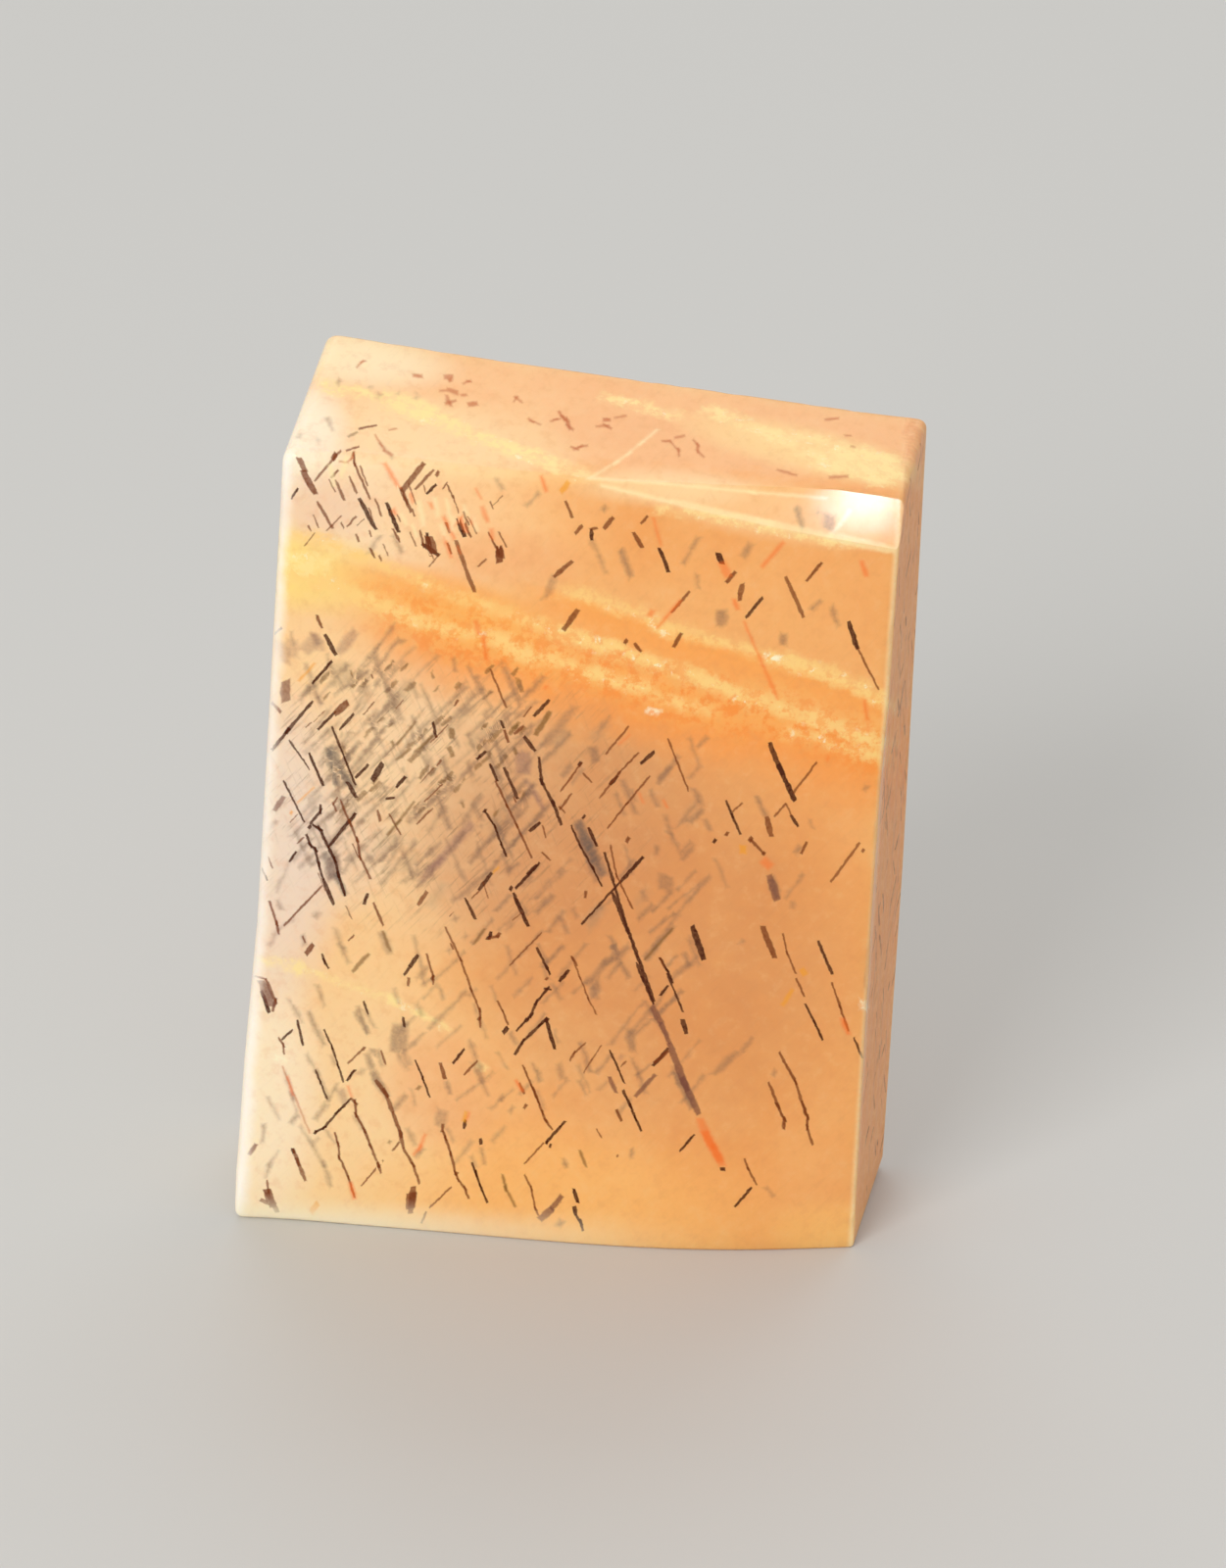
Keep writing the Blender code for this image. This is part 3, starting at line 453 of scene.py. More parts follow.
# Smoky marks are the same blades lying deeper, their edges lost in the cloudy stone above them.
DEEP_BLADES = {
    "slate": [
        (.2, 2.9, 16.05, 3.15, 15.2), (.24, 3.15, 15.3, 3.55, 14.7), (.3, 2.75, 12.5, 2.95, 11.7),
        (.16, 3.0, 11.8, 3.3, 11.2), (.3, 10.15, 13.85, 10.5, 13.0), (.22, 10.5, 13.0, 10.9, 12.2),
        (.24, 13.25, 5.6, 13.75, 4.4), (.2, 15.85, 12.3, 16.05, 11.7), (.14, 2.8, 16.0, 3.04, 14.82),
    ],
    "smoke": [
        (.08, 4.65, 22.95, 4.9, 22.45), (.1, 4.25, 25.9, 4.63, 25.45), (.1, 4.25, 22.95, 3.95, 22.4),
        (.06, 2.76, 26.6, 2.9, 26.2), (.1, 1.95, 26.0), (.09, 7.57, 24.9, 7.75, 24.6),
        (.08, 8.82, 24.5, 8.5, 24.15), (.13, 10.4, 23.05, 10.8, 22.05), (.15, 11.2, 22.8, 11.5, 22.0),
        (.2, 9.3, 21.9, 9.05, 21.2), (.12, 10.7, 24.1), (.1, 2.47, 25.89), (.1, 3.95, 27.62),
        (.1, 3.07, 27.76), (.1, 4.8, 27.51), (.1, 5.28, 27.38), (.12, 13.4, 22.15, 13.42, 21.8),
        (.12, 13.4, 23.3, 13.0, 22.5), (.15, 16.15, 24.4, 16.4, 23.8), (.12, 16.8, 24.3),
        (.4, 17.1, 24.2, 17.1, 23.8), (.08, 16.95, 21.5, 16.7, 21.2), (.1, 4.19, 27.39),
        (.06, 1.7, 19.75, 1.78, 19.25), (.12, 2.35, 19.7, 2.45, 19.4), (.14, 3.97, 18.1, 3.6, 17.3),
        (.08, 3.35, 18.75, 3.2, 18.5), (.3, 3.75, 18.45), (.14, 2.9, 16.0, 3.2, 15.2, 3.55, 14.75),
        (.2, 4.85, 17.8, 4.05, 16.85), (.12, 5.5, 16.0, 5.75, 15.4), (.15, 6.15, 15.9, 6.3, 15.2),
        (.1, 6.4, 19.1, 6.5, 18.7), (.08, 5.0, 19.65, 4.85, 19.5), (.1, 4.75, 20.2, 4.25, 19.4, 3.98, 19.0),
        (.2, 4.7, 16.95), (.07, 5.0, 18.9, 4.3, 18.1), (.15, 7.15, 18.55), (.25, 10.5, 16.4, 10.6, 16.0),
        (.25, 9.95, 17.7, 9.1, 16.4), (.2, 15.95, 20.35, 15.95, 20.05), (.35, 14.15, 21.0, 14.15, 20.6),
        (.08, 13.35, 16.85, 13.65, 15.95), (.1, 1.28, 13.5, 1.05, 13.2), (.12, 1.3, 10.85, 1.4, 10.55),
        (.1, 3.0, 15.9, 3.15, 14.3), (.2, 4.45, 14.75), (.2, 5.38, 13.85), (.08, 6.17, 14.2, 6.08, 13.85),
        (.1, 6.7, 14.4), (.07, 5.9, 12.85, 5.43, 12.25), (.3, 4.03, 12.5, 4.03, 12.3),
        (.22, 4.39, 9.89, 4.62, 9.22), (.2, 2.45, 10.4), (.1, 3.16, 9.47, 3.28, 9.15),
        (.07, 1.65, 12.1, 1.3, 11.1), (.1, 7.28, 13.65), (.1, 8.17, 11.35, 7.78, 10.85),
        (.42, 10.15, 13.85, 10.5, 13.0, 10.9, 12.2), (.1, 12.45, 13.25, 12.45, 12.95),
        (.5, 12.75, 12.2, 12.75, 11.8), (.1, 12.7, 14.25, 12.9, 13.6, 13.1, 13.15),
        (.06, 9.95, 12.65, 9.65, 12.3, 8.9, 11.3), (.2, 11.75, 9.83, 11.14, 9.3, 10.49, 8.5),
        (.45, 10.72, 8.45, 10.78, 8.15), (.13, 13.05, 10.6, 12.2, 9.5), (.12, 6.55, 10.5), (.12, 6.85, 9.9),
        (.1, 15.35, 15.0, 15.65, 14.35), (.2, 16.6, 13.35), (.07, 16.95, 14.35, 17.0, 14.1),
        (.08, 13.43, 13.4, 13.15, 13.05), (.1, 14.05, 12.3, 13.25, 11.2), (.12, 13.2, 11.1, 12.4, 9.7),
        (.1, 14.2, 12.9, 14.55, 12.0), (.1, 16.5, 11.6, 16.5, 11.4), (.06, 16.75, 12.5, 16.3, 11.7),
        (.1, 15.05, 10.15), (.15, 18.5, 15.45), (.1, 2.06, 9.66, 2.1, 9.4), (.08, 5.94, 8.45, 5.61, 8.21),
        (.55, 4.95, 6.75, 4.9, 5.95), (.2, 5.09, 5.85, 5.24, 5.43),
        (.2, 3.96, 5.74, 4.06, 5.48, 4.27, 4.89, 4.58, 4.31), (.2, 3.8, 5.1),
        (.08, 2.18, 5.6, 2.5, 4.97, 2.81, 4.17), (.08, 3.1, 4.66, 2.8, 4.06), (.15, 2.74, 3.9, 2.45, 3.4),
        (.38, 6.25, 3.85, 6.2, 3.4), (.12, 6.35, 4.9, 6.45, 4.5), (.06, 9.14, 10.2, 8.51, 9.38, 7.86, 8.53),
        (.1, 9.46, 8.4, 9.75, 7.94), (.1, 8.26, 6.65, 8.45, 6.3), (.28, 11.85, 6.9, 11.9, 6.3),
        (.2, 9.72, 5.68, 9.83, 5.2), (.1, 16.15, 5.75), (.1, 15.45, 6.9, 15.15, 6.45),
        (.2, 15.05, 6.4, 14.35, 5.6), (.06, 8.36, 4.75, 8.03, 4.4, 7.7, 4.05), (.15, 8.33, 4.05),
        (.1, 7.45, 2.66, 7.52, 2.1), (.12, 11.9, 4.6, 11.55, 4.1), (.1, 11.95, 2.85, 12.0, 2.55),
        (.1, 16.07, 1.7, 16.25, 1.45), (.2, 9.85, .1), (.07, 1.35, 2.23, 1.04, 1.75, .93, 1.26),
        (.08, .88, 3.1, .83, 2.5), (.07, 1.02, 4.05, 1.33, 3.3),
        (.08, 2.0, 3.07, 2.3, 2.53, 2.7, 1.8, 2.93, 1.0), (.07, 7.65, 10.5, 7.1, 9.7), (.15, 6.4, 9.4),
        (.25, 14.9, 23.2, 14.7, 22.8), (.12, 17.3, 21.3, 17.5, 20.7), (.1, 6.23, 17.02, 6.62, 16.19),
        (.12, 5.47, 16.66, 5.86, 15.39), (.08, 4.6, 18.54, 5.25, 19.43),
    ],
    "violet": [
        (.3, 3.55, 19.8, 3.1, 19.1), (.4, 1.41, 19.35, 1.52, 18.79), (.43, 2.1, 19.14, 2.43, 19.57),
        (.31, 2.43, 19.69, 2.54, 19.21), (.35, 1.74, 19.45, 1.78, 18.96), (.08, 2.43, 17.85, 2.57, 17.4),
        (.5, 8.5, 16.1, 8.5, 15.5), (.25, 7.0, 13.7, 5.97, 12.3, 5.53, 11.7),
        (.13, 8.6, 15.25, 8.9, 14.7, 9.13, 14.3), (.45, 2.95, 12.35, 2.95, 11.65),
        (.12, 1.05, 9.3, 1.33, 9.9), (.08, 1.33, 9.9, 1.73, 10.21), (.3, 3.2, 4.4, 3.3, 4.0),
        (.1, 1.5, 4.95, 1.75, 4.15, 1.9, 3.4), (.12, 11.54, 6.0),
    ],
    "moss": [
        (.7, 3.2, 18.7, 3.2, 18.1), (.4, 2.9, 16.0, 2.9, 15.2), (.35, 5.1, 18.2, 4.6, 17.4),
        (.3, 6.9, 17.6, 6.5, 16.9), (.3, 7.4, 16.9, 7.0, 16.3), (.25, 5.4, 12.6, 5.0, 12.0),
        (.25, 6.2, 11.6, 5.8, 10.9), (.3, 4.6, 13.2, 4.2, 12.6), (.25, 8.0, 14.3, 7.6, 13.7),
        (.3, 10.9, 11.1, 10.5, 10.5), (.25, 12.2, 11.7, 11.9, 11.2), (.3, 13.6, 14.7, 13.3, 14.2),
        (.25, 10.9, 17.2, 10.5, 16.7), (.3, 9.7, 16.9, 9.4, 16.4),
    ],
}

# Cloudy veils: healed cracks full of tiny bubbles, which dip back through the stone as thin sheets.
VEILS = {
    "honey": [
        (.3, .2, 21.75, 1.6, 21.6, 2.5, 21.45, 3.7, 20.95, 5.1, 20.4, 6.0, 20.1, 7.8, 19.8, 8.4, 19.4,
         9.3, 19.2),
        (.24, 9.3, 19.2, 10.5, 18.8, 11.8, 18.45, 13.0, 18.0, 14.0, 17.75),
        (.2, 1.71, 22.89, 2.55, 22.75, 3.61, 22.31, 4.59, 21.93, 5.58, 21.51, 6.6, 21.05),
        (.26, 6.6, 21.05, 7.2, 20.9, 8.7, 20.4, 9.6, 20.1, 10.3, 19.9, 11.0, 19.7, 12.0, 19.3, 13.2, 19.0),
        (.3, 13.2, 19.0, 13.9, 18.7, 14.5, 18.45, 15.2, 18.15, 16.0, 17.95, 17.0, 17.6, 18.2, 17.2,
         19.2, 16.85),
        (.26, 9.5, 21.45, 10.2, 21.3, 11.0, 21.0, 12.0, 20.75, 12.6, 20.4, 14.0, 20.1, 15.6, 19.6),
        (.34, 15.6, 19.6, 16.5, 19.35, 17.5, 19.05, 18.3, 18.7, 19.3, 18.2),
        (.2, 16.2, 17.2, 17.2, 16.95, 18.5, 16.6, 19.2, 16.35),
    ],
    "cream": [
        (.16, 2.47, 27.64, 2.91, 27.57, 3.31, 27.53, 3.75, 27.44, 4.31, 27.29),
        (.4, 4.47, 27.3, 4.71, 27.22, 5.11, 27.07, 5.71, 26.85),
        (.2, 5.71, 26.83, 5.99, 26.67, 6.35, 26.51, 6.79, 26.4),
        (.24, 6.79, 26.4, 7.31, 26.12, 7.91, 25.88, 8.52, 25.73, 9.08, 25.54, 10.2, 25.1),
        (.16, 10.57, 27.64, 11.39, 27.52, 11.97, 27.32, 12.79, 27.14),
        (.24, 13.36, 27.39, 14.0, 27.26, 14.88, 26.89, 15.47, 26.66, 16.06, 26.37),
        (.2, 15.99, 26.75, 17.04, 26.54),
        (.3, 16.36, 26.19, 17.06, 25.84, 17.82, 25.75, 18.53, 25.52, 19.45, 25.7),
        (.36, 17.22, 26.3, 18.39, 26.03, 19.28, 25.69),
        (.16, 12.2, 24.2, 14.0, 24.0, 15.4, 23.75, 17.0, 23.4, 18.0, 23.3),
    ],
    "lemon": [
        (.22, .74, 8.83, 1.79, 8.62, 2.96, 8.22), (.13, 2.96, 8.22, 4.71, 7.64, 5.65, 7.15, 6.48, 6.59),
        (.55, 1.3, 21.9, 2.8, 21.9), (.3, 5.0, 26.95, 6.2, 26.75), (.2, 7.3, 5.5, 7.6, 5.3),
    ],
    "white": [
        (.14, 1.2, 5.5, 1.55, 5.3), (.14, 10.2, 19.9, 10.6, 19.95), (.14, 13.9, 18.65, 14.4, 18.55),
        (.16, 12.1, 17.7, 12.4, 17.6), (.14, 15.45, 19.65, 15.85, 19.58), (.14, 18.7, 8.35, 18.72, 8.1),
    ],
}


def linear(red, green, blue):
    """Linear light for a colour given as 0 to 255 screen values."""
    c = np.array([red, green, blue]) / 255.0
    return np.where(c <= 0.04045, c / 12.92, ((c + 0.055) / 1.055) ** 2.4)


# Each tone: its colour, how strongly it covers, and half the width of its soft edge.
TONES = {
    "ink": (linear(74, 24, 0), 0.97, 0.018),
    "brown": (linear(120, 52, 10), 0.88, 0.024),
    "olive": (linear(124, 84, 34), 0.74, 0.04),
    "umber": (linear(186, 84, 14), 0.74, 0.05),
    "mauve": (linear(120, 70, 56), 0.8, 0.035),
    "rust": (linear(246, 112, 34), 0.7, 0.08),
    "gold": (linear(240, 160, 36), 0.75, 0.05),
    "pale": (linear(255, 232, 178), 0.72, 0.08),
    "slate": (linear(90, 82, 78), 0.78, 0.1),
    "smoke": (linear(126, 96, 78), 0.6, 0.1),
    "violet": (linear(150, 108, 96), 0.6, 0.1),
    "moss": (linear(158, 134, 104), 0.4, 0.2),
    "honey": (linear(255, 210, 132), 0.9, 0.22),
    "cream": (linear(255, 226, 156), 0.95, 0.18),
    "lemon": (linear(255, 228, 156), 0.8, 0.15),
    "white": (linear(255, 246, 210), 0.95, 0.09),
}

# How far a piece of a line runs on past an inner joint and past the line's ends, and the ends of a short
# fleck, all in widths; then how slanted a piece's ends are, and the faintest that chance makes one.
JOINT_OVERLAP = 1.2
END_OVERRUN = 0.15
FLECK = np.array([[-0.2, -0.4], [0.25, 0.4]])
END_SLANT = 0.25
FAINTEST = 0.6


def plates(groups, right, up):
    """One row per straight piece of every line: unit directions, place, softness, half sizes, cover, tone.

    right and up are the directions in space that a line's two numbers are measured along. A line with only
    one place is a short fleck there.
    """
    rng = np.random.default_rng(7)
    rows = []
    for tone, lines in groups.items():
        colour, cover, soft = TONES[tone]
        for width, *places in lines:
            p = np.array(places).reshape(-1, 2)
            if len(p) == 1:
                p = p[0] + width * FLECK
            ends = np.full(len(p), JOINT_OVERLAP * width)
            ends[[0, -1]] = END_OVERRUN * width
            for a, b, before, after in zip(p[:-1], p[1:], ends[:-1], ends[1:]):
                run = (b - a) / np.linalg.norm(b - a)
                a, b = a - run * before, b + run * after
                across = -run[1] * right + run[0] * up
                along = run[0] * right + run[1] * up + rng.normal(0, END_SLANT) * across
                middle = (a + b) / 2
                centre = middle[0] * right + middle[1] * up
                strength = cover * rng.uniform(max(1 - 4 * soft, FAINTEST), 1)
                rows.append(np.concatenate([
                    along, across, [centre @ along, centre @ across, soft],
                    [np.linalg.norm(b - a) / 2, width / 2, strength], colour,
                ]))
    return np.array(rows)


# The two directions of the lattice, in degrees from the horizontal.
LATTICE_WAYS = [112.0, 52.0]


def scattered(seed, count, low, high, sizes, steep=0.6, width=1.0):
    """Lines of the lattice at random places between the corners low and high, their lengths within sizes: two
    crossing directions, steep being the share of the first, each with a little scatter."""
    rng = np.random.default_rng(seed)
    lines = []
    for _ in range(count):
        angle = np.radians(rng.choice(LATTICE_WAYS, p=[steep, 1 - steep]) + rng.normal(0, 4))
        length = rng.uniform(*sizes) * rng.uniform(0.4, 1.0)
        middle = rng.uniform(low, high)
        half = 0.5 * length * np.array([np.cos(angle), np.sin(angle)])
        lines.append((width * rng.uniform(0.05, 0.16), *(middle - half), *(middle + half)))
    return lines


X = np.array([1.0, 0.0, 0.0])
Y = np.array([0.0, 1.0, 0.0])
Z = np.array([0.0, 0.0, 1.0])


# The eye of the picture, measured like the slab: across, up, and how far it is in front.
EYE_ACROSS = 18.87
EYE_UP = 109.2
EYE_AWAY = 176.6


def ruler(p):
    """Where the front as it is looked at shows a point: it slides towards the eye's place by its depth."""
    x, y, z = p.T
    across = x + y * (EYE_ACROSS - x) / EYE_AWAY
    up = z + y * (EYE_UP - z) / EYE_AWAY
    return np.column_stack([across, np.zeros(len(p)), up])


def put(name, values, domain="FACE"):
    """Store one number or one triple for each face or point of the slab."""
    kind, field = ("FLOAT", "value") if values.ndim == 1 else ("FLOAT_VECTOR", "vector")
    layer = skin.attributes.new(name, kind, domain)
    layer.data.foreach_set(field, values.astype(np.float32).ravel())


# A plate too small to cover anything, for faces that have fewer plates near them than slots.
EMPTY_PLATE = np.array([1, 0, 0, 0, 0, 1, 0, 0, 0.1, -50, -50, 0, 0, 0, 0], float)
BLADE_SLOTS = 3
VEIL_SLOTS = 2


def nearest_plates(rows, places, slots, reach):
    """Give each face the plates nearest to it, in the order they are drawn: distance is the larger of the
    overshoots along and across the plate, and a plate further off than reach is left out."""
    away = np.maximum(
        np.abs(places @ rows[:, 0:3].T - rows[:, 6]) - rows[:, 9],
        np.abs(places @ rows[:, 3:6].T - rows[:, 7]) - rows[:, 10],
    )
    chosen = np.argpartition(away, slots, axis=1)[:, :slots]
    chosen.sort(axis=1)
    near = np.take_along_axis(away, chosen, axis=1) < reach
    return np.where(near[:, :, None], rows[chosen], EMPTY_PLATE)


def store_plates(name, held):
    """The plates of every face as five triples per slot: two directions, place, size and colour."""
    for slot_number in range(held.shape[1]):
        for part, columns in (("along", 0), ("across", 3), ("place", 6), ("size", 9), ("colour", 12)):
            put(f"{name}_{slot_number}_{part}", held[:, slot_number, columns:columns + 3])


centres = triples(skin.polygons, "center") / MM + FRAME_SHIFT
normals = triples(skin.polygons, "normal")
looked_at = (normals[:, 1] < -0.45) | ((normals[:, 2] > 0.55) & (normals[:, 1] < 0.6))
sideways = ~looked_at & (np.abs(normals[:, 0]) > 0.7)
under = ~looked_at & (normals[:, 2] < -0.6)
behind = ~looked_at & ~sideways & ~under

# Faces that are looked at carry the written blades, and between them lattice scattered at random in the same
# two directions. It stands for blades of the photograph that were not written out one by one.
BLADES["brown"] += scattered(17, 44, (2.2, 22.2), (8.0, 25.2), (0.3, 1.0), 0.8, 0.6)
BLADES["brown"] += scattered(18, 26, (1.0, 9.5), (8.5, 18.5), (0.3, 1.0), 0.45, 0.5)
BLADES["rust"] += scattered(19, 9, (4.5, 22.4), (8.5, 24.6), (0.3, 0.8), 0.8, 0.8)
BLADES["rust"] += scattered(20, 5, (9.0, 14.0), (18.0, 23.0), (0.3, 0.9), 0.4, 0.6)
smoky_lattice = scattered(11, 130, (2.0, 12.2), (8.8, 18.9), (0.7, 2.6), 0.2, 0.9)
smoky_lattice += scattered(12, 42, (8.0, 9.0), (14.0, 17.2), (0.4, 1.4), 0.4)
smoky_lattice += scattered(16, 40, (1.0, 2.0), (11.0, 9.5), (0.5, 1.6), 0.7)
smoky_lattice += scattered(13, 48, (4.8, 4.8), (13.8, 12.4), (0.5, 2.2), 0.25, 0.8)
deep_in_front = {
    "moss": DEEP_BLADES["moss"],
    "violet": DEEP_BLADES["violet"],
    "olive": scattered(15, 56, (2.6, 14.0), (8.6, 18.8), (0.2, 0.7), 0.25),
    "smoke": smoky_lattice + DEEP_BLADES["smoke"],
    "slate": DEEP_BLADES["slate"],
}

# The other faces carry scattered lattice of the same kind: first the sides, then the back, then the base.
crisp_held = np.zeros((len(centres), BLADE_SLOTS, len(EMPTY_PLATE)))
deep_held = np.zeros_like(crisp_held)
for where, right, up, crisp, deep in (
    (looked_at, X, Z, BLADES, deep_in_front),
    (sideways, Y, Z, {
        "brown": scattered(21, 60, (0.3, 0.5), (5.0, 25.0), (0.3, 1.6)),
        "ink": scattered(22, 40, (0.3, 1.0), (4.8, 20.0), (0.3, 1.2)),
    }, {
        "smoke": scattered(23, 70, (0.0, 0.5), (5.0, 25.0), (0.4, 2.0)),
    }),
    (behind, X, Z, {
        "brown": scattered(31, 130, (0.6, 0.3), (19.2, 25.5), (0.3, 2.0)),
        "ink": scattered(32, 90, (0.8, 0.5), (15.0, 20.0), (0.3, 1.6)),
        "rust": scattered(33, 14, (3.0, 2.0), (18.0, 24.0), (0.2, 0.7)),
    }, {
        "moss": scattered(34, 60, (1.0, 8.0), (12.0, 19.0), (0.5, 2.0)),
        "smoke": scattered(35, 260, (0.6, 0.3), (19.2, 25.5), (0.4, 2.4)),
    }),
    (under, X, Y, {
        "brown": scattered(41, 30, (0.5, -0.5), (19.0, 4.8), (0.3, 1.6)),
        "ink": scattered(42, 14, (0.8, -0.4), (14.0, 4.6), (0.3, 1.0)),
    }, {
        "smoke": scattered(43, 50, (0.5, -0.5), (19.0, 4.8), (0.4, 1.6)),
    }),
):
    at = ruler(centres[where]) if where is looked_at else centres[where]
    crisp_held[where] = nearest_plates(plates(crisp, right, up), at, BLADE_SLOTS, 0.45)
    deep_held[where] = nearest_plates(plates(deep, right, up), at, BLADE_SLOTS, 0.6)
store_plates("blade", crisp_held)
store_plates("deep", deep_held)
store_plates("veil", nearest_plates(plates(VEILS, X, Z), ruler(centres), VEIL_SLOTS, 0.9))
put("looked_at", looked_at.astype(float))

# How far each point lies under each of the two main veils, whose lines run from left to right.
point_co = triples(skin.vertices, "co") / MM + FRAME_SHIFT
seen = ruler(point_co)
main_veil = np.array([
    (0.0, 21.8), (1.6, 21.6), (3.7, 20.95), (6.0, 20.2), (8.4, 19.7), (10.5, 19.2), (13.0, 18.4),
    (16.0, 17.9), (19.0, 16.9),
])
upper_veil = np.array([
    (6.0, 22.0), (8.0, 21.7), (9.5, 21.45), (11.0, 21.0), (12.6, 20.4), (14.0, 20.1), (15.6, 19.6),
    (17.5, 19.05), (19.3, 18.2),
])
put("under_veil", np.interp(seen[:, 0], *main_veil.T) - seen[:, 2], "POINT")
put("under_upper_veil", np.interp(seen[:, 0], *upper_veil.T) - seen[:, 2], "POINT")

# How much of each point belongs to the sawn right side, to the polished front and to the sawn back.
off_right_edge = point_co[:, 0] - np.interp(point_co[:, 2], [0.0, 25.0], [18.75, 19.2])
sawn_share = np.interp(off_right_edge, [-0.04, 0.01], [0.0, 1.0])
put("sawn_side", sawn_share * np.interp(point_co[:, 1], [-1.2, 0.0], [0.6, 1.0]), "POINT")
facing = -triples(skin.vertices, "normal")[:, 1]
put("turned_front", np.interp(facing, [0.1, 0.8], [0.0, 1.0]), "POINT")
off_back = back_depth(point_co[:, 0]) - point_co[:, 1]
put("sawn_back", np.interp(off_back, [0.1, 0.3], [1.0, 0.0]), "POINT")


class Wire:
    """A shader socket that can be added, subtracted, multiplied and divided, each adding one Math node."""

    def __init__(self, bench, socket):
        self.bench = bench
        self.socket = socket

    def math(self, operation, first, second=0.0):
        """A Math node on one or two wires or numbers."""
        return self.bench.node("ShaderNodeMath", {"operation": operation}, {0: first, 1: second})

    def __add__(self, other):
        return self.math("ADD", self, other)

    def __radd__(self, other):
        return self.math("ADD", other, self)

    def __sub__(self, other):
        return self.math("SUBTRACT", self, other)

    def __rsub__(self, other):
        return self.math("SUBTRACT", other, self)

    def __mul__(self, other):
        return self.math("MULTIPLY", self, other)

    def __rmul__(self, other):
        return self.math("MULTIPLY", other, self)

    def __truediv__(self, other):
        return self.math("DIVIDE", self, other)

    def __abs__(self):
        return self.math("ABSOLUTE", self)


class Bench:
    """The material's node tree and the one method that puts nodes on it."""

    def __init__(self, name):
        self.material = bpy.data.materials.new(name)
        self.material.use_nodes = True
        self.tree = self.material.node_tree
        self.shader = self.tree.nodes["Principled BSDF"]

    def node(self, kind, settings, sockets, out=0):
        """Add a node, set its settings, then its sockets to values or to other nodes' wires."""
        made = self.tree.nodes.new(kind)
        for key, value in settings.items():
            setattr(made, key, value)
        for key, value in sockets.items():
            self.feed(made.inputs[key], value)
        return Wire(self, made.outputs[out])

    def feed(self, socket, value):
        """Link a wire to a socket, or set the socket to a plain value."""
        if isinstance(value, Wire):
            self.tree.links.new(value.socket, socket)
        else:
            socket.default_value = value


stone = Bench("sunstone")


def smooth(value, low, high):
    """0 at low and 1 at high, eased at both ends."""
    return stone.node("ShaderNodeMapRange", {"interpolation_type": "SMOOTHSTEP"}, {0: value, 1: low, 2: high})


def blend(share, under, over):
    """Colour over laid on colour under by share."""
    picked = []
    for colour in (under, over):
        picked.append(colour if isinstance(colour, Wire) else (*colour, 1.0))
    return stone.node("ShaderNodeMix", {"data_type": "RGBA"}, {0: share, 6: picked[0], 7: picked[1]}, 2)


def vector(operation, first, second, out=0):
    """A Vector Math node. out 0 is its triple, out 1 its number."""
    return stone.node("ShaderNodeVectorMath", {"operation": operation}, {0: first, 1: second}, out)


def stored(name, out=1):
    """A value kept on the slab's faces or points. out 1 is its triple, out 2 its number."""
    return stone.node("ShaderNodeAttribute", {"attribute_name": name}, {}, out)


def grain(place, scale, detail=2.0, roughness=0.5, out=0):
    """Noise around 0.5. out 0 is a number, out 1 a triple."""
    sockets = {"Vector": place, "Scale": scale, "Detail": detail, "Roughness": roughness}
    return stone.node("ShaderNodeTexNoise", {}, sockets, out)


def shake(place, noise, amount):
    """The place moved by a triple of noise, along each axis by at most half its amount."""
    away = vector("SUBTRACT", noise, (0.5, 0.5, 0.5))
    return vector("ADD", place, vector("MULTIPLY", away, amount))


def part_of(place, out):
    """The number of a triple along x, y or z, for out 0, 1 or 2."""
    return stone.node("ShaderNodeSeparateXYZ", {}, {0: place}, out)


object_place = stone.node("ShaderNodeTexCoord", {}, {}, 3)
in_stone = stone.node(
    "ShaderNodeVectorMath", {"operation": "MULTIPLY_ADD"},
    {0: object_place, 1: (1 / MM,) * 3, 2: tuple(FRAME_SHIFT)},
)
x = part_of(in_stone, 0)
y = part_of(in_stone, 1)
z = part_of(in_stone, 2)
across_front = x + y * (EYE_ACROSS - x) / EYE_AWAY
up_front = z + y * (EYE_UP - z) / EYE_AWAY
on_ruler = stone.node("ShaderNodeCombineXYZ", {}, {0: across_front, 2: up_front})

# Ragged edges: the whole pattern is shaken by a fine noise, and each line's width follows a coarser one.
looked = stored("looked_at", 2)
on_face = stone.node("ShaderNodeMix", {"data_type": "VECTOR"}, {0: looked, 4: in_stone, 5: on_ruler}, 1)
shaken = shake(on_face, grain(in_stone, 5.0, 3.0, 0.6, out=1), (0.075, 0.075, 0.075))
width_noise = grain(in_stone, 3.5, 2.0)
mottle = grain(in_stone, 9.0, 3.0, 0.6)


def plate_cover(name, place, widened, ragged):
    """Cover and colour of one stored plate: how far a place overshoots its half length and half width, its
    ends drawn in and its outline made ragged, eased by its soft edge."""
    at = stored(f"{name}_place")
    size = stored(f"{name}_size")
    soft = part_of(at, 2)
    half_width = part_of(size, 1)
    off_along = abs(vector("DOT_PRODUCT", place, stored(f"{name}_along"), 1) - part_of(at, 0))
    off_across = abs(vector("DOT_PRODUCT", place, stored(f"{name}_across"), 1) - part_of(at, 1))
    along = off_along - part_of(size, 0)
    across = off_across - half_width * widened
    drawn_in = along.math("MAXIMUM", along + half_width * 3.0, 0.0) * 0.08
    over = along.math("MAXIMUM", along, across + drawn_in) + ragged
    return smooth(over, soft, soft * -1.0) * part_of(size, 2), stored(f"{name}_colour")


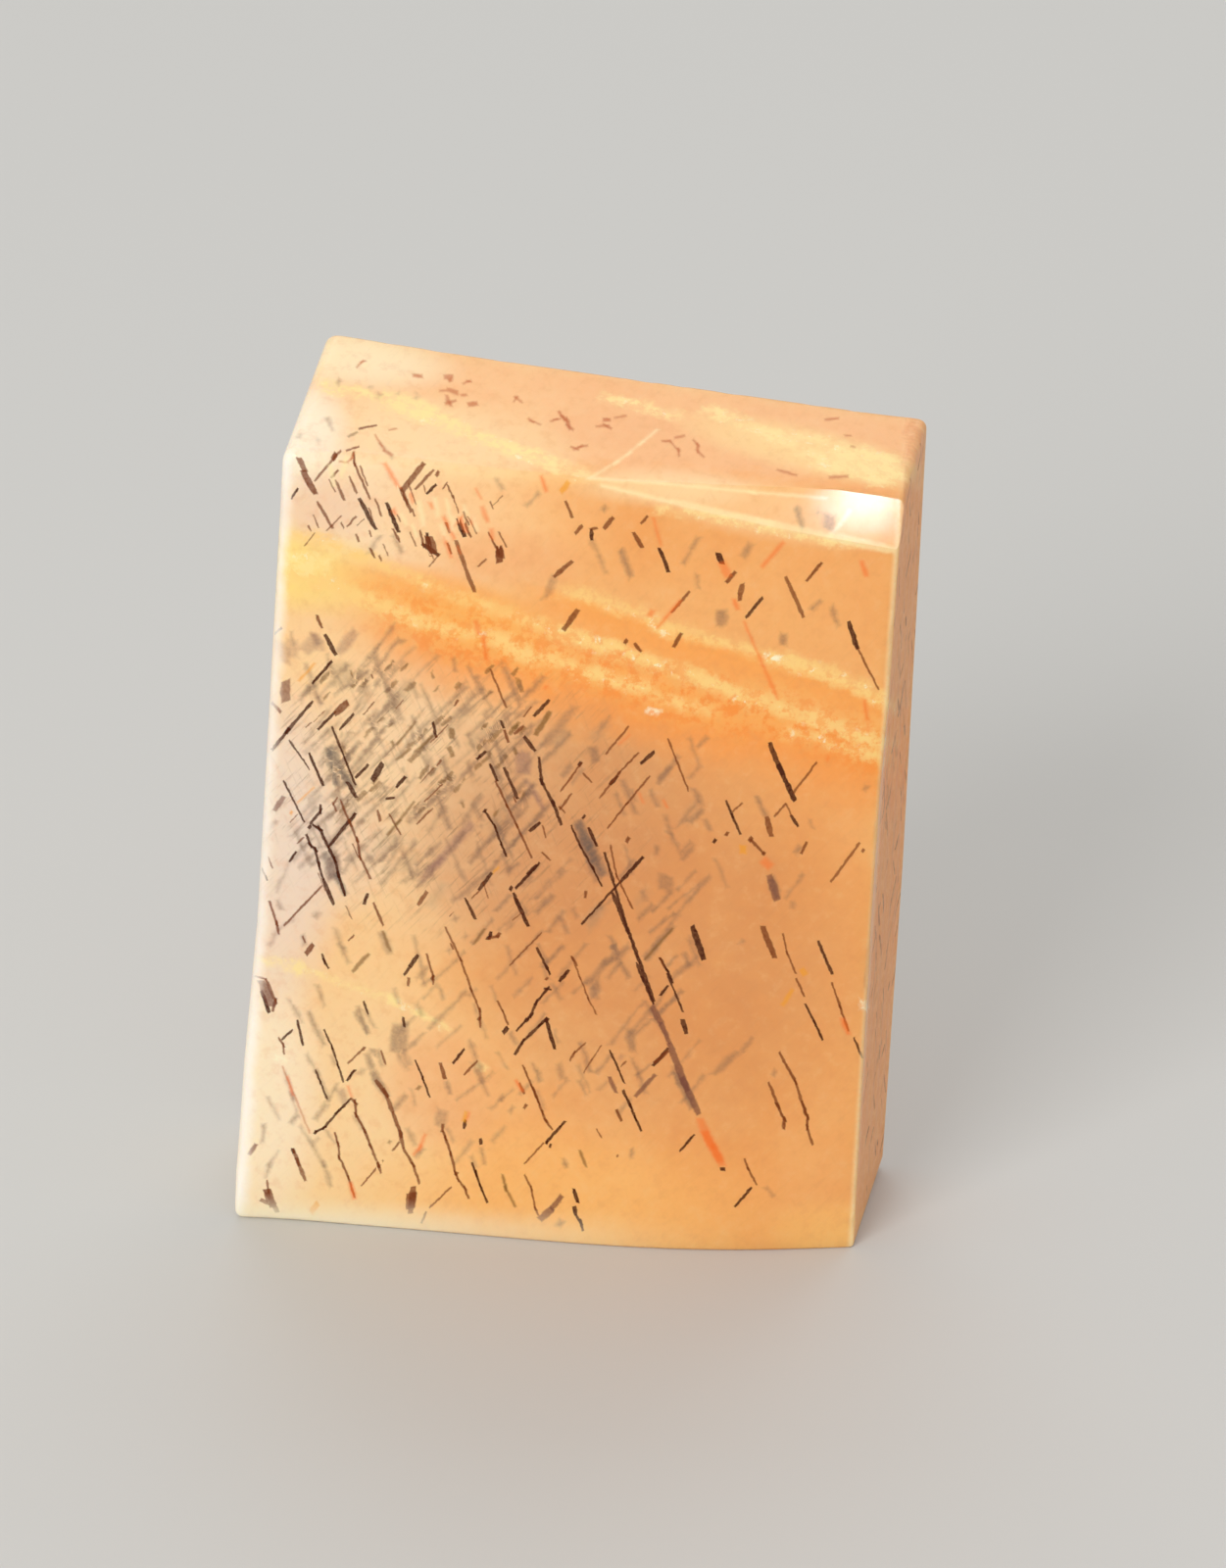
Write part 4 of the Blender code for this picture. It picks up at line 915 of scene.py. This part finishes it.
def zone(centre, radii, turn=0.0):
    """1 at the centre of an ellipse fading to 0 at its rim, from the length of the scaled offset."""
    a = np.radians(turn)
    u = (across_front - centre[0]) * float(np.cos(a)) + (up_front - centre[1]) * float(np.sin(a))
    w = (up_front - centre[1]) * float(np.cos(a)) - (across_front - centre[0]) * float(np.sin(a))
    u = u / radii[0]
    w = w / radii[1]
    return smooth(u * u + w * w, 1.0, 0.0)


# Clouds of the feldspar itself, from pale cream through peach to a strong orange, with near-white and
# lavender-white patches at the left edge that are painted light. Their places and tones were set in rounds
# against colours measured in the photograph, and some tones are close to those colours.
cloud = grain(in_stone, 0.22, 4.0, 0.55)
small_cloud = grain(in_stone, 1.1, 4.0, 0.6)


def clouded(under, rows):
    """Soft patches laid on a colour. Each row is an ellipse's centre, its radii and turn, its cover, how much
    more cover comes with the small clouds, and its tone."""
    for centre, radii, turn, cover, patchy, tone in rows:
        share = cover + patchy * small_cloud if patchy else cover
        under = blend(zone(centre, radii, turn) * share, under, linear(*tone))
    return under


colour = blend(smooth(cloud, 0.35, 0.65), linear(248, 190, 124), linear(243, 172, 104))
colour = blend(smooth(across_front + cloud * 3.0, 9.0, 16.0) * 0.5, colour, linear(244, 166, 92))
colour = clouded(colour, (
    ((2.4, 3.0), (6.0, 8.5), 0.0, 0.8, 0.0, (252, 220, 168)),
    ((9.5, 0.6), (8.0, 3.6), 0.0, 0.6, 0.0, (255, 192, 112)),
    ((3.4, 24.0), (6.4, 4.2), 0.0, 0.95, 0.0, (254, 222, 180)),
    ((7.5, 23.6), (4.0, 3.0), 0.0, 0.6, 0.0, (255, 200, 136)),
    ((4.6, 14.4), (6.4, 6.2), 0.0, 0.6, 0.5, (242, 206, 160)),
    ((9.5, 14.0), (5.6, 4.4), 40.0, 0.3, 0.6, (212, 160, 112)),
    ((12.2, 10.5), (7.5, 9.5), 25.0, 0.35, 0.5, (212, 142, 90)),
    ((3.6, 16.6), (3.4, 3.4), 0.0, 0.55, 0.0, (250, 216, 172)),
    ((1.4, 19.2), (3.6, 2.4), 0.0, 0.8, 0.0, (253, 214, 160)),
    ((3.6, 9.8), (3.6, 3.2), 0.0, 0.4, 0.0, (254, 218, 160)),
    # Painted light along the left edge, low down: a near-white patch.
    ((0.6, 4.4), (2.4, 6.0), 0.0, 0.6, 0.0, (255, 242, 216)),
    ((6.2, 4.6), (2.2, 2.6), 0.0, 0.5, 0.0, (240, 166, 106)),
    # Painted light along the left edge: a lavender-white patch.
    ((1.0, 12.6), (2.6, 6.6), 0.0, 0.85, 0.0, (238, 220, 202)),
))

# Below each of the two main veils the stone is a strong clear orange.
under_main = stored("under_veil", 2) + (small_cloud - 0.5) * 1.1
main_glow = smooth(under_main, -0.5, 0.2) * smooth(under_main, 3.0, 0.3) * smooth(across_front, 2.5, 7.0)
colour = blend(main_glow * 0.9, colour, linear(252, 156, 72))
under_upper = stored("under_upper_veil", 2) + (small_cloud - 0.5) * 0.5
upper_glow = smooth(under_upper, -0.1, 0.15) * smooth(under_upper, 2.2, 0.2) * smooth(across_front, 7.4, 10.5)
colour = blend(upper_glow * 0.8, colour, linear(253, 168, 84))

# Clouds beside the veils, then over the upper edge a fade to a paler peach that is painted sheen on the top
# surface, then the clouds of the top surface and the last few on the front.
colour = clouded(colour, (
    ((1.2, 21.9), (4.4, 1.7), -10.0, 0.95, 0.0, (255, 218, 130)),
    ((6.4, 20.7), (4.2, 1.3), -18.0, 0.9, 0.0, (254, 172, 84)),
    ((8.0, 22.4), (2.6, 1.2), 0.0, 0.6, 0.0, (244, 176, 118)),
    ((15.6, 24.25), (4.6, 1.1), -9.0, 0.6, 0.0, (255, 214, 160)),
    ((12.3, 24.9), (3.2, 0.8), 0.0, 0.7, 0.0, (255, 220, 168)),
))
# Painted sheen: the top surface is made paler, for the light it catches from above.
painted_top_sheen = smooth(up_front - 25.1 + (small_cloud - 0.5) * 1.2, 0.0, 0.7)
colour = blend(painted_top_sheen * 0.5, colour, linear(250, 200, 152))
colour = clouded(colour, (
    ((6.0, 26.2), (5.0, 1.6), -8.0, 0.6, 0.0, (255, 222, 166)),
    ((1.8, 26.0), (1.8, 2.4), -15.0, 0.85, 0.0, (255, 240, 214)),
    ((3.4, 28.5), (3.6, 1.1), -4.0, 0.7, 0.0, (255, 240, 200)),
    ((11.0, 26.7), (2.4, 0.9), 0.0, 0.4, 0.0, (243, 178, 124)),
    ((18.2, 0.3), (2.6, 1.3), 0.0, 0.7, 0.0, (255, 192, 112)),
    # Painted light beside the left edge: a pale lavender patch.
    ((3.0, 12.6), (2.0, 2.6), 0.0, 0.35, 0.0, (238, 216, 196)),
    ((16.6, 26.2), (4.6, 0.9), -12.0, 0.7, 0.0, (255, 220, 150)),
    ((2.4, 23.8), (2.2, 1.3), 0.0, 0.45, 0.0, (234, 196, 170)),
))

# A fine haze of specks too small to tell apart, some browner and some paler than the stone round them.
specks = grain(in_stone, 2.6, 4.0, 0.6)
colour = blend(smooth(specks, 0.48, 0.7) * 0.18, colour, linear(222, 150, 92))
colour = blend(smooth(specks, 0.5, 0.26) * 0.1, colour, linear(255, 222, 170))

# Finer lattice that is too deep to make out: brushed streaks in the two directions of the blades.
for turn, seed_shift, strength in ((-68.0, 0.0, 0.25), (50.0, 40.0, 0.6)):
    streak_place = stone.node(
        "ShaderNodeMapping", {"vector_type": "TEXTURE"},
        {0: on_face, 1: (seed_shift, 0.0, 0.0), 2: (0.0, float(np.radians(-turn)), 0.0), 3: (1.6, 1.0, 0.14)},
    )
    streak = smooth(grain(streak_place, 1.3, 3.0, 0.6), 0.52, 0.7)
    deep_zone = zone((5.8, 14.6), (7.6, 5.6)) * smooth(small_cloud, 0.35, 0.6) * 0.9 + 0.06
    colour = blend(streak * deep_zone * strength, colour, linear(142, 108, 78))

# Veils, then the deep blades, then those cut by the surface.
veil_place = shake(on_ruler, grain(in_stone, 1.7, 5.0, 0.68, out=1), (0.7, 0.0, 0.7))
crumbs = smooth(grain(in_stone, 2.8, 5.0, 0.72), 0.4, 0.56)
near_veil = smooth(under_main, -1.2, -0.3) * smooth(under_main, 1.5, 0.5) * smooth(across_front, 2.0, 6.0)
colour = blend(near_veil * (1.0 - crumbs) * 0.4, colour, linear(250, 146, 60))
colour = blend(near_veil * crumbs * 0.35, colour, linear(255, 196, 112))
veiled = 0.0
for slot_number in range(VEIL_SLOTS):
    cover, tone = plate_cover(f"veil_{slot_number}", veil_place, 1.5, 0.0)
    veiled = cover.math("MAXIMUM", cover, veiled)
    colour = blend(cover * (0.3 + 0.75 * crumbs), colour, tone)
bright_crumbs = smooth(grain(in_stone, 3.4, 4.0, 0.7), 0.57, 0.66) * smooth(small_cloud, 0.46, 0.6)
colour = blend(veiled * bright_crumbs, colour, linear(255, 242, 204))
deep_place = shake(shaken, grain(in_stone, 1.6, 2.0, 0.5, out=1), (0.14, 0.14, 0.14))
uneven = (width_noise - 0.5) * 0.2
for slot_number in range(BLADE_SLOTS):
    cover, tone = plate_cover(f"deep_{slot_number}", deep_place, 0.8 + 0.5 * width_noise, uneven)
    colour = blend(cover * (0.45 + 0.9 * mottle), colour, tone)
ragged = (mottle - 0.5) * 0.05
for slot_number in range(BLADE_SLOTS):
    cover, tone = plate_cover(f"blade_{slot_number}", shaken, 0.6 + 0.7 * width_noise, ragged)
    colour = blend(cover * (0.72 + 0.5 * mottle), colour, tone)

# Light gathers along the left edge, the foot and the right arris, where the stone is thin.
left_band = smooth(across_front - 0.055 * up_front + (small_cloud - 0.5) * 0.4, 0.55, 0.08)
on_front = stored("turned_front", 2)
colour = blend(left_band * (0.3 + 0.6 * on_front), colour, linear(255, 244, 230))
right_arris = smooth(across_front - 0.018 * up_front, 18.5, 18.68) * on_front
colour = blend(right_arris * (0.25 + 0.6 * mottle), colour, linear(255, 226, 176))
foot_band = smooth(up_front + (small_cloud - 0.5) * 0.3, 0.8, -0.3) * smooth(across_front, 16.0, 0.0)
colour = blend(foot_band * 0.8, colour, linear(255, 240, 206))

# The sawn side is dusty and partly painted shade, a darker pinkish brown, and the sawn back a little paler
# and duller than the polished front.
sawn = stored("sawn_side", 2)
dusty = smooth(grain(vector("MULTIPLY", in_stone, (1.0, 1.6, 1.0)), 3.6, 4.0, 0.65), 0.3, 0.75)
# Painted shade mixed with dust: the darker pinkish brown is painted shade on this side, the paler tone its
# saw dust.
sawn_shade_and_dust = blend(dusty, linear(222, 134, 90), linear(250, 192, 144))
colour = blend(sawn * (0.36 + 0.22 * dusty), colour, sawn_shade_and_dust)
rough_back = stored("sawn_back", 2)
colour = blend(rough_back * 0.25, colour, linear(232, 184, 146))

stone.feed(stone.shader.inputs["Base Color"], colour)
polish = 0.03 + 0.04 * grain(in_stone, 2.0, 4.0)
stone.feed(stone.shader.inputs["Roughness"], polish + sawn * 0.38 + rough_back * 0.24)
saw_marks = grain(vector("MULTIPLY", in_stone, (1.0, 8.0, 0.3)), 1.2, 3.0)
pits = grain(in_stone, 7.0, 3.0)
relief = saw_marks * sawn * 0.025 + pits * (0.0006 + sawn * 0.008 + rough_back * 0.006)
bump = stone.node("ShaderNodeBump", {}, {"Strength": 1.0, "Distance": MM, "Height": relief})
stone.feed(stone.shader.inputs["Normal"], bump)
for socket, value in (
    ("IOR", 1.53),
    ("Specular IOR Level", 0.17),
    ("Subsurface Weight", 0.25),
    ("Subsurface Radius", (1.0, 0.55, 0.3)),
    ("Subsurface Scale", 0.0022),
    ("Subsurface Anisotropy", 0.2),
):
    stone.shader.inputs[socket].default_value = value
skin.materials.append(stone.material)

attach(slab, "root")
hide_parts("sunstone_slab")

# The setting: a plain pale table top, a soft sky, a large soft lamp at the upper left, a weaker one above
# and behind, and a very small one that the facet mirrors as a white patch.
table_mesh = bpy.data.meshes.new("table_top")
reach = 1.5
table_corners = [(-reach, -reach, 0), (reach, -reach, 0), (reach, reach, 0), (-reach, reach, 0)]
table_mesh.from_pydata(table_corners, [], [(0, 1, 2, 3)])
table_top = bpy.data.objects.new("table_top", table_mesh)
bpy.context.scene.collection.objects.link(table_top)
table_finish = bpy.data.materials.new("pale_table")
table_finish.use_nodes = True
table_shader = table_finish.node_tree.nodes["Principled BSDF"]
table_shader.inputs["Base Color"].default_value = (0.62, 0.62, 0.6, 1.0)
table_shader.inputs["Roughness"].default_value = 0.6
table_mesh.materials.append(table_finish)

sky = bpy.data.worlds.new("soft_room")
sky.use_nodes = True
sky.node_tree.nodes["Background"].inputs["Color"].default_value = (1.0, 0.98, 0.96, 1.0)
sky.node_tree.nodes["Background"].inputs["Strength"].default_value = 0.62
bpy.context.scene.world = sky


def soft_lamp(name, place, target, size, power):
    """Rectangular lamp at place facing target; metres and watts."""
    lamp = bpy.data.lights.new(name, "AREA")
    lamp.shape = "RECTANGLE"
    lamp.size, lamp.size_y = size
    lamp.energy = power
    holder = bpy.data.objects.new(name, lamp)
    holder.location = place
    holder.rotation_euler = (Vector(target) - Vector(place)).to_track_quat("-Z", "Y").to_euler()
    bpy.context.scene.collection.objects.link(holder)


camera_place = Vector((8.960, -178.782, 109.220)) * MM
stone_middle = (0.0, 0.0, 0.013)
soft_lamp("window_light", (-0.2, -0.36, 0.24), stone_middle, (0.22, 0.22), 1.1)
soft_lamp("top_light", (0.02, 0.22, 0.30), stone_middle, (0.3, 0.2), 0.25)

# The facet's lamp stands where a ray from the camera goes after the facet mirrors it.
patch = (Vector((18.1, 0.1, 24.72)) - Vector(FRAME_SHIFT)) * MM
to_camera = (camera_place - patch).normalized()
mirrored = 2 * to_camera.dot(Vector(facet_normal)) * Vector(facet_normal) - to_camera
soft_lamp("facet_light", patch + mirrored * 0.3, patch, (0.0040, 0.0018), 0.0044)

# The camera looks a little down at the slab from the front, as the photograph does.
camera_data = bpy.data.cameras.new("camera")
camera_data.sensor_fit = "VERTICAL"
camera_data.sensor_height = 36.0
camera_data.lens = 157.5
camera_data.clip_start = 0.01
camera = bpy.data.objects.new("camera", camera_data)
ahead_line = Vector((-0.038647, 0.882101, -0.469472)).normalized()
level = ahead_line.cross(Vector((0.0, 0.0, 1.0))).normalized()
upward = level.cross(ahead_line)
roll = np.radians(1.4)
camera_x = level * float(np.cos(roll)) + upward * float(np.sin(roll))
camera_y = upward * float(np.cos(roll)) - level * float(np.sin(roll))
turned = Matrix((camera_x, camera_y, -ahead_line)).transposed()
camera.matrix_world = Matrix.Translation(camera_place) @ turned.to_4x4()
bpy.context.scene.collection.objects.link(camera)
bpy.context.scene.camera = camera
bpy.context.scene.view_settings.view_transform = "Standard"
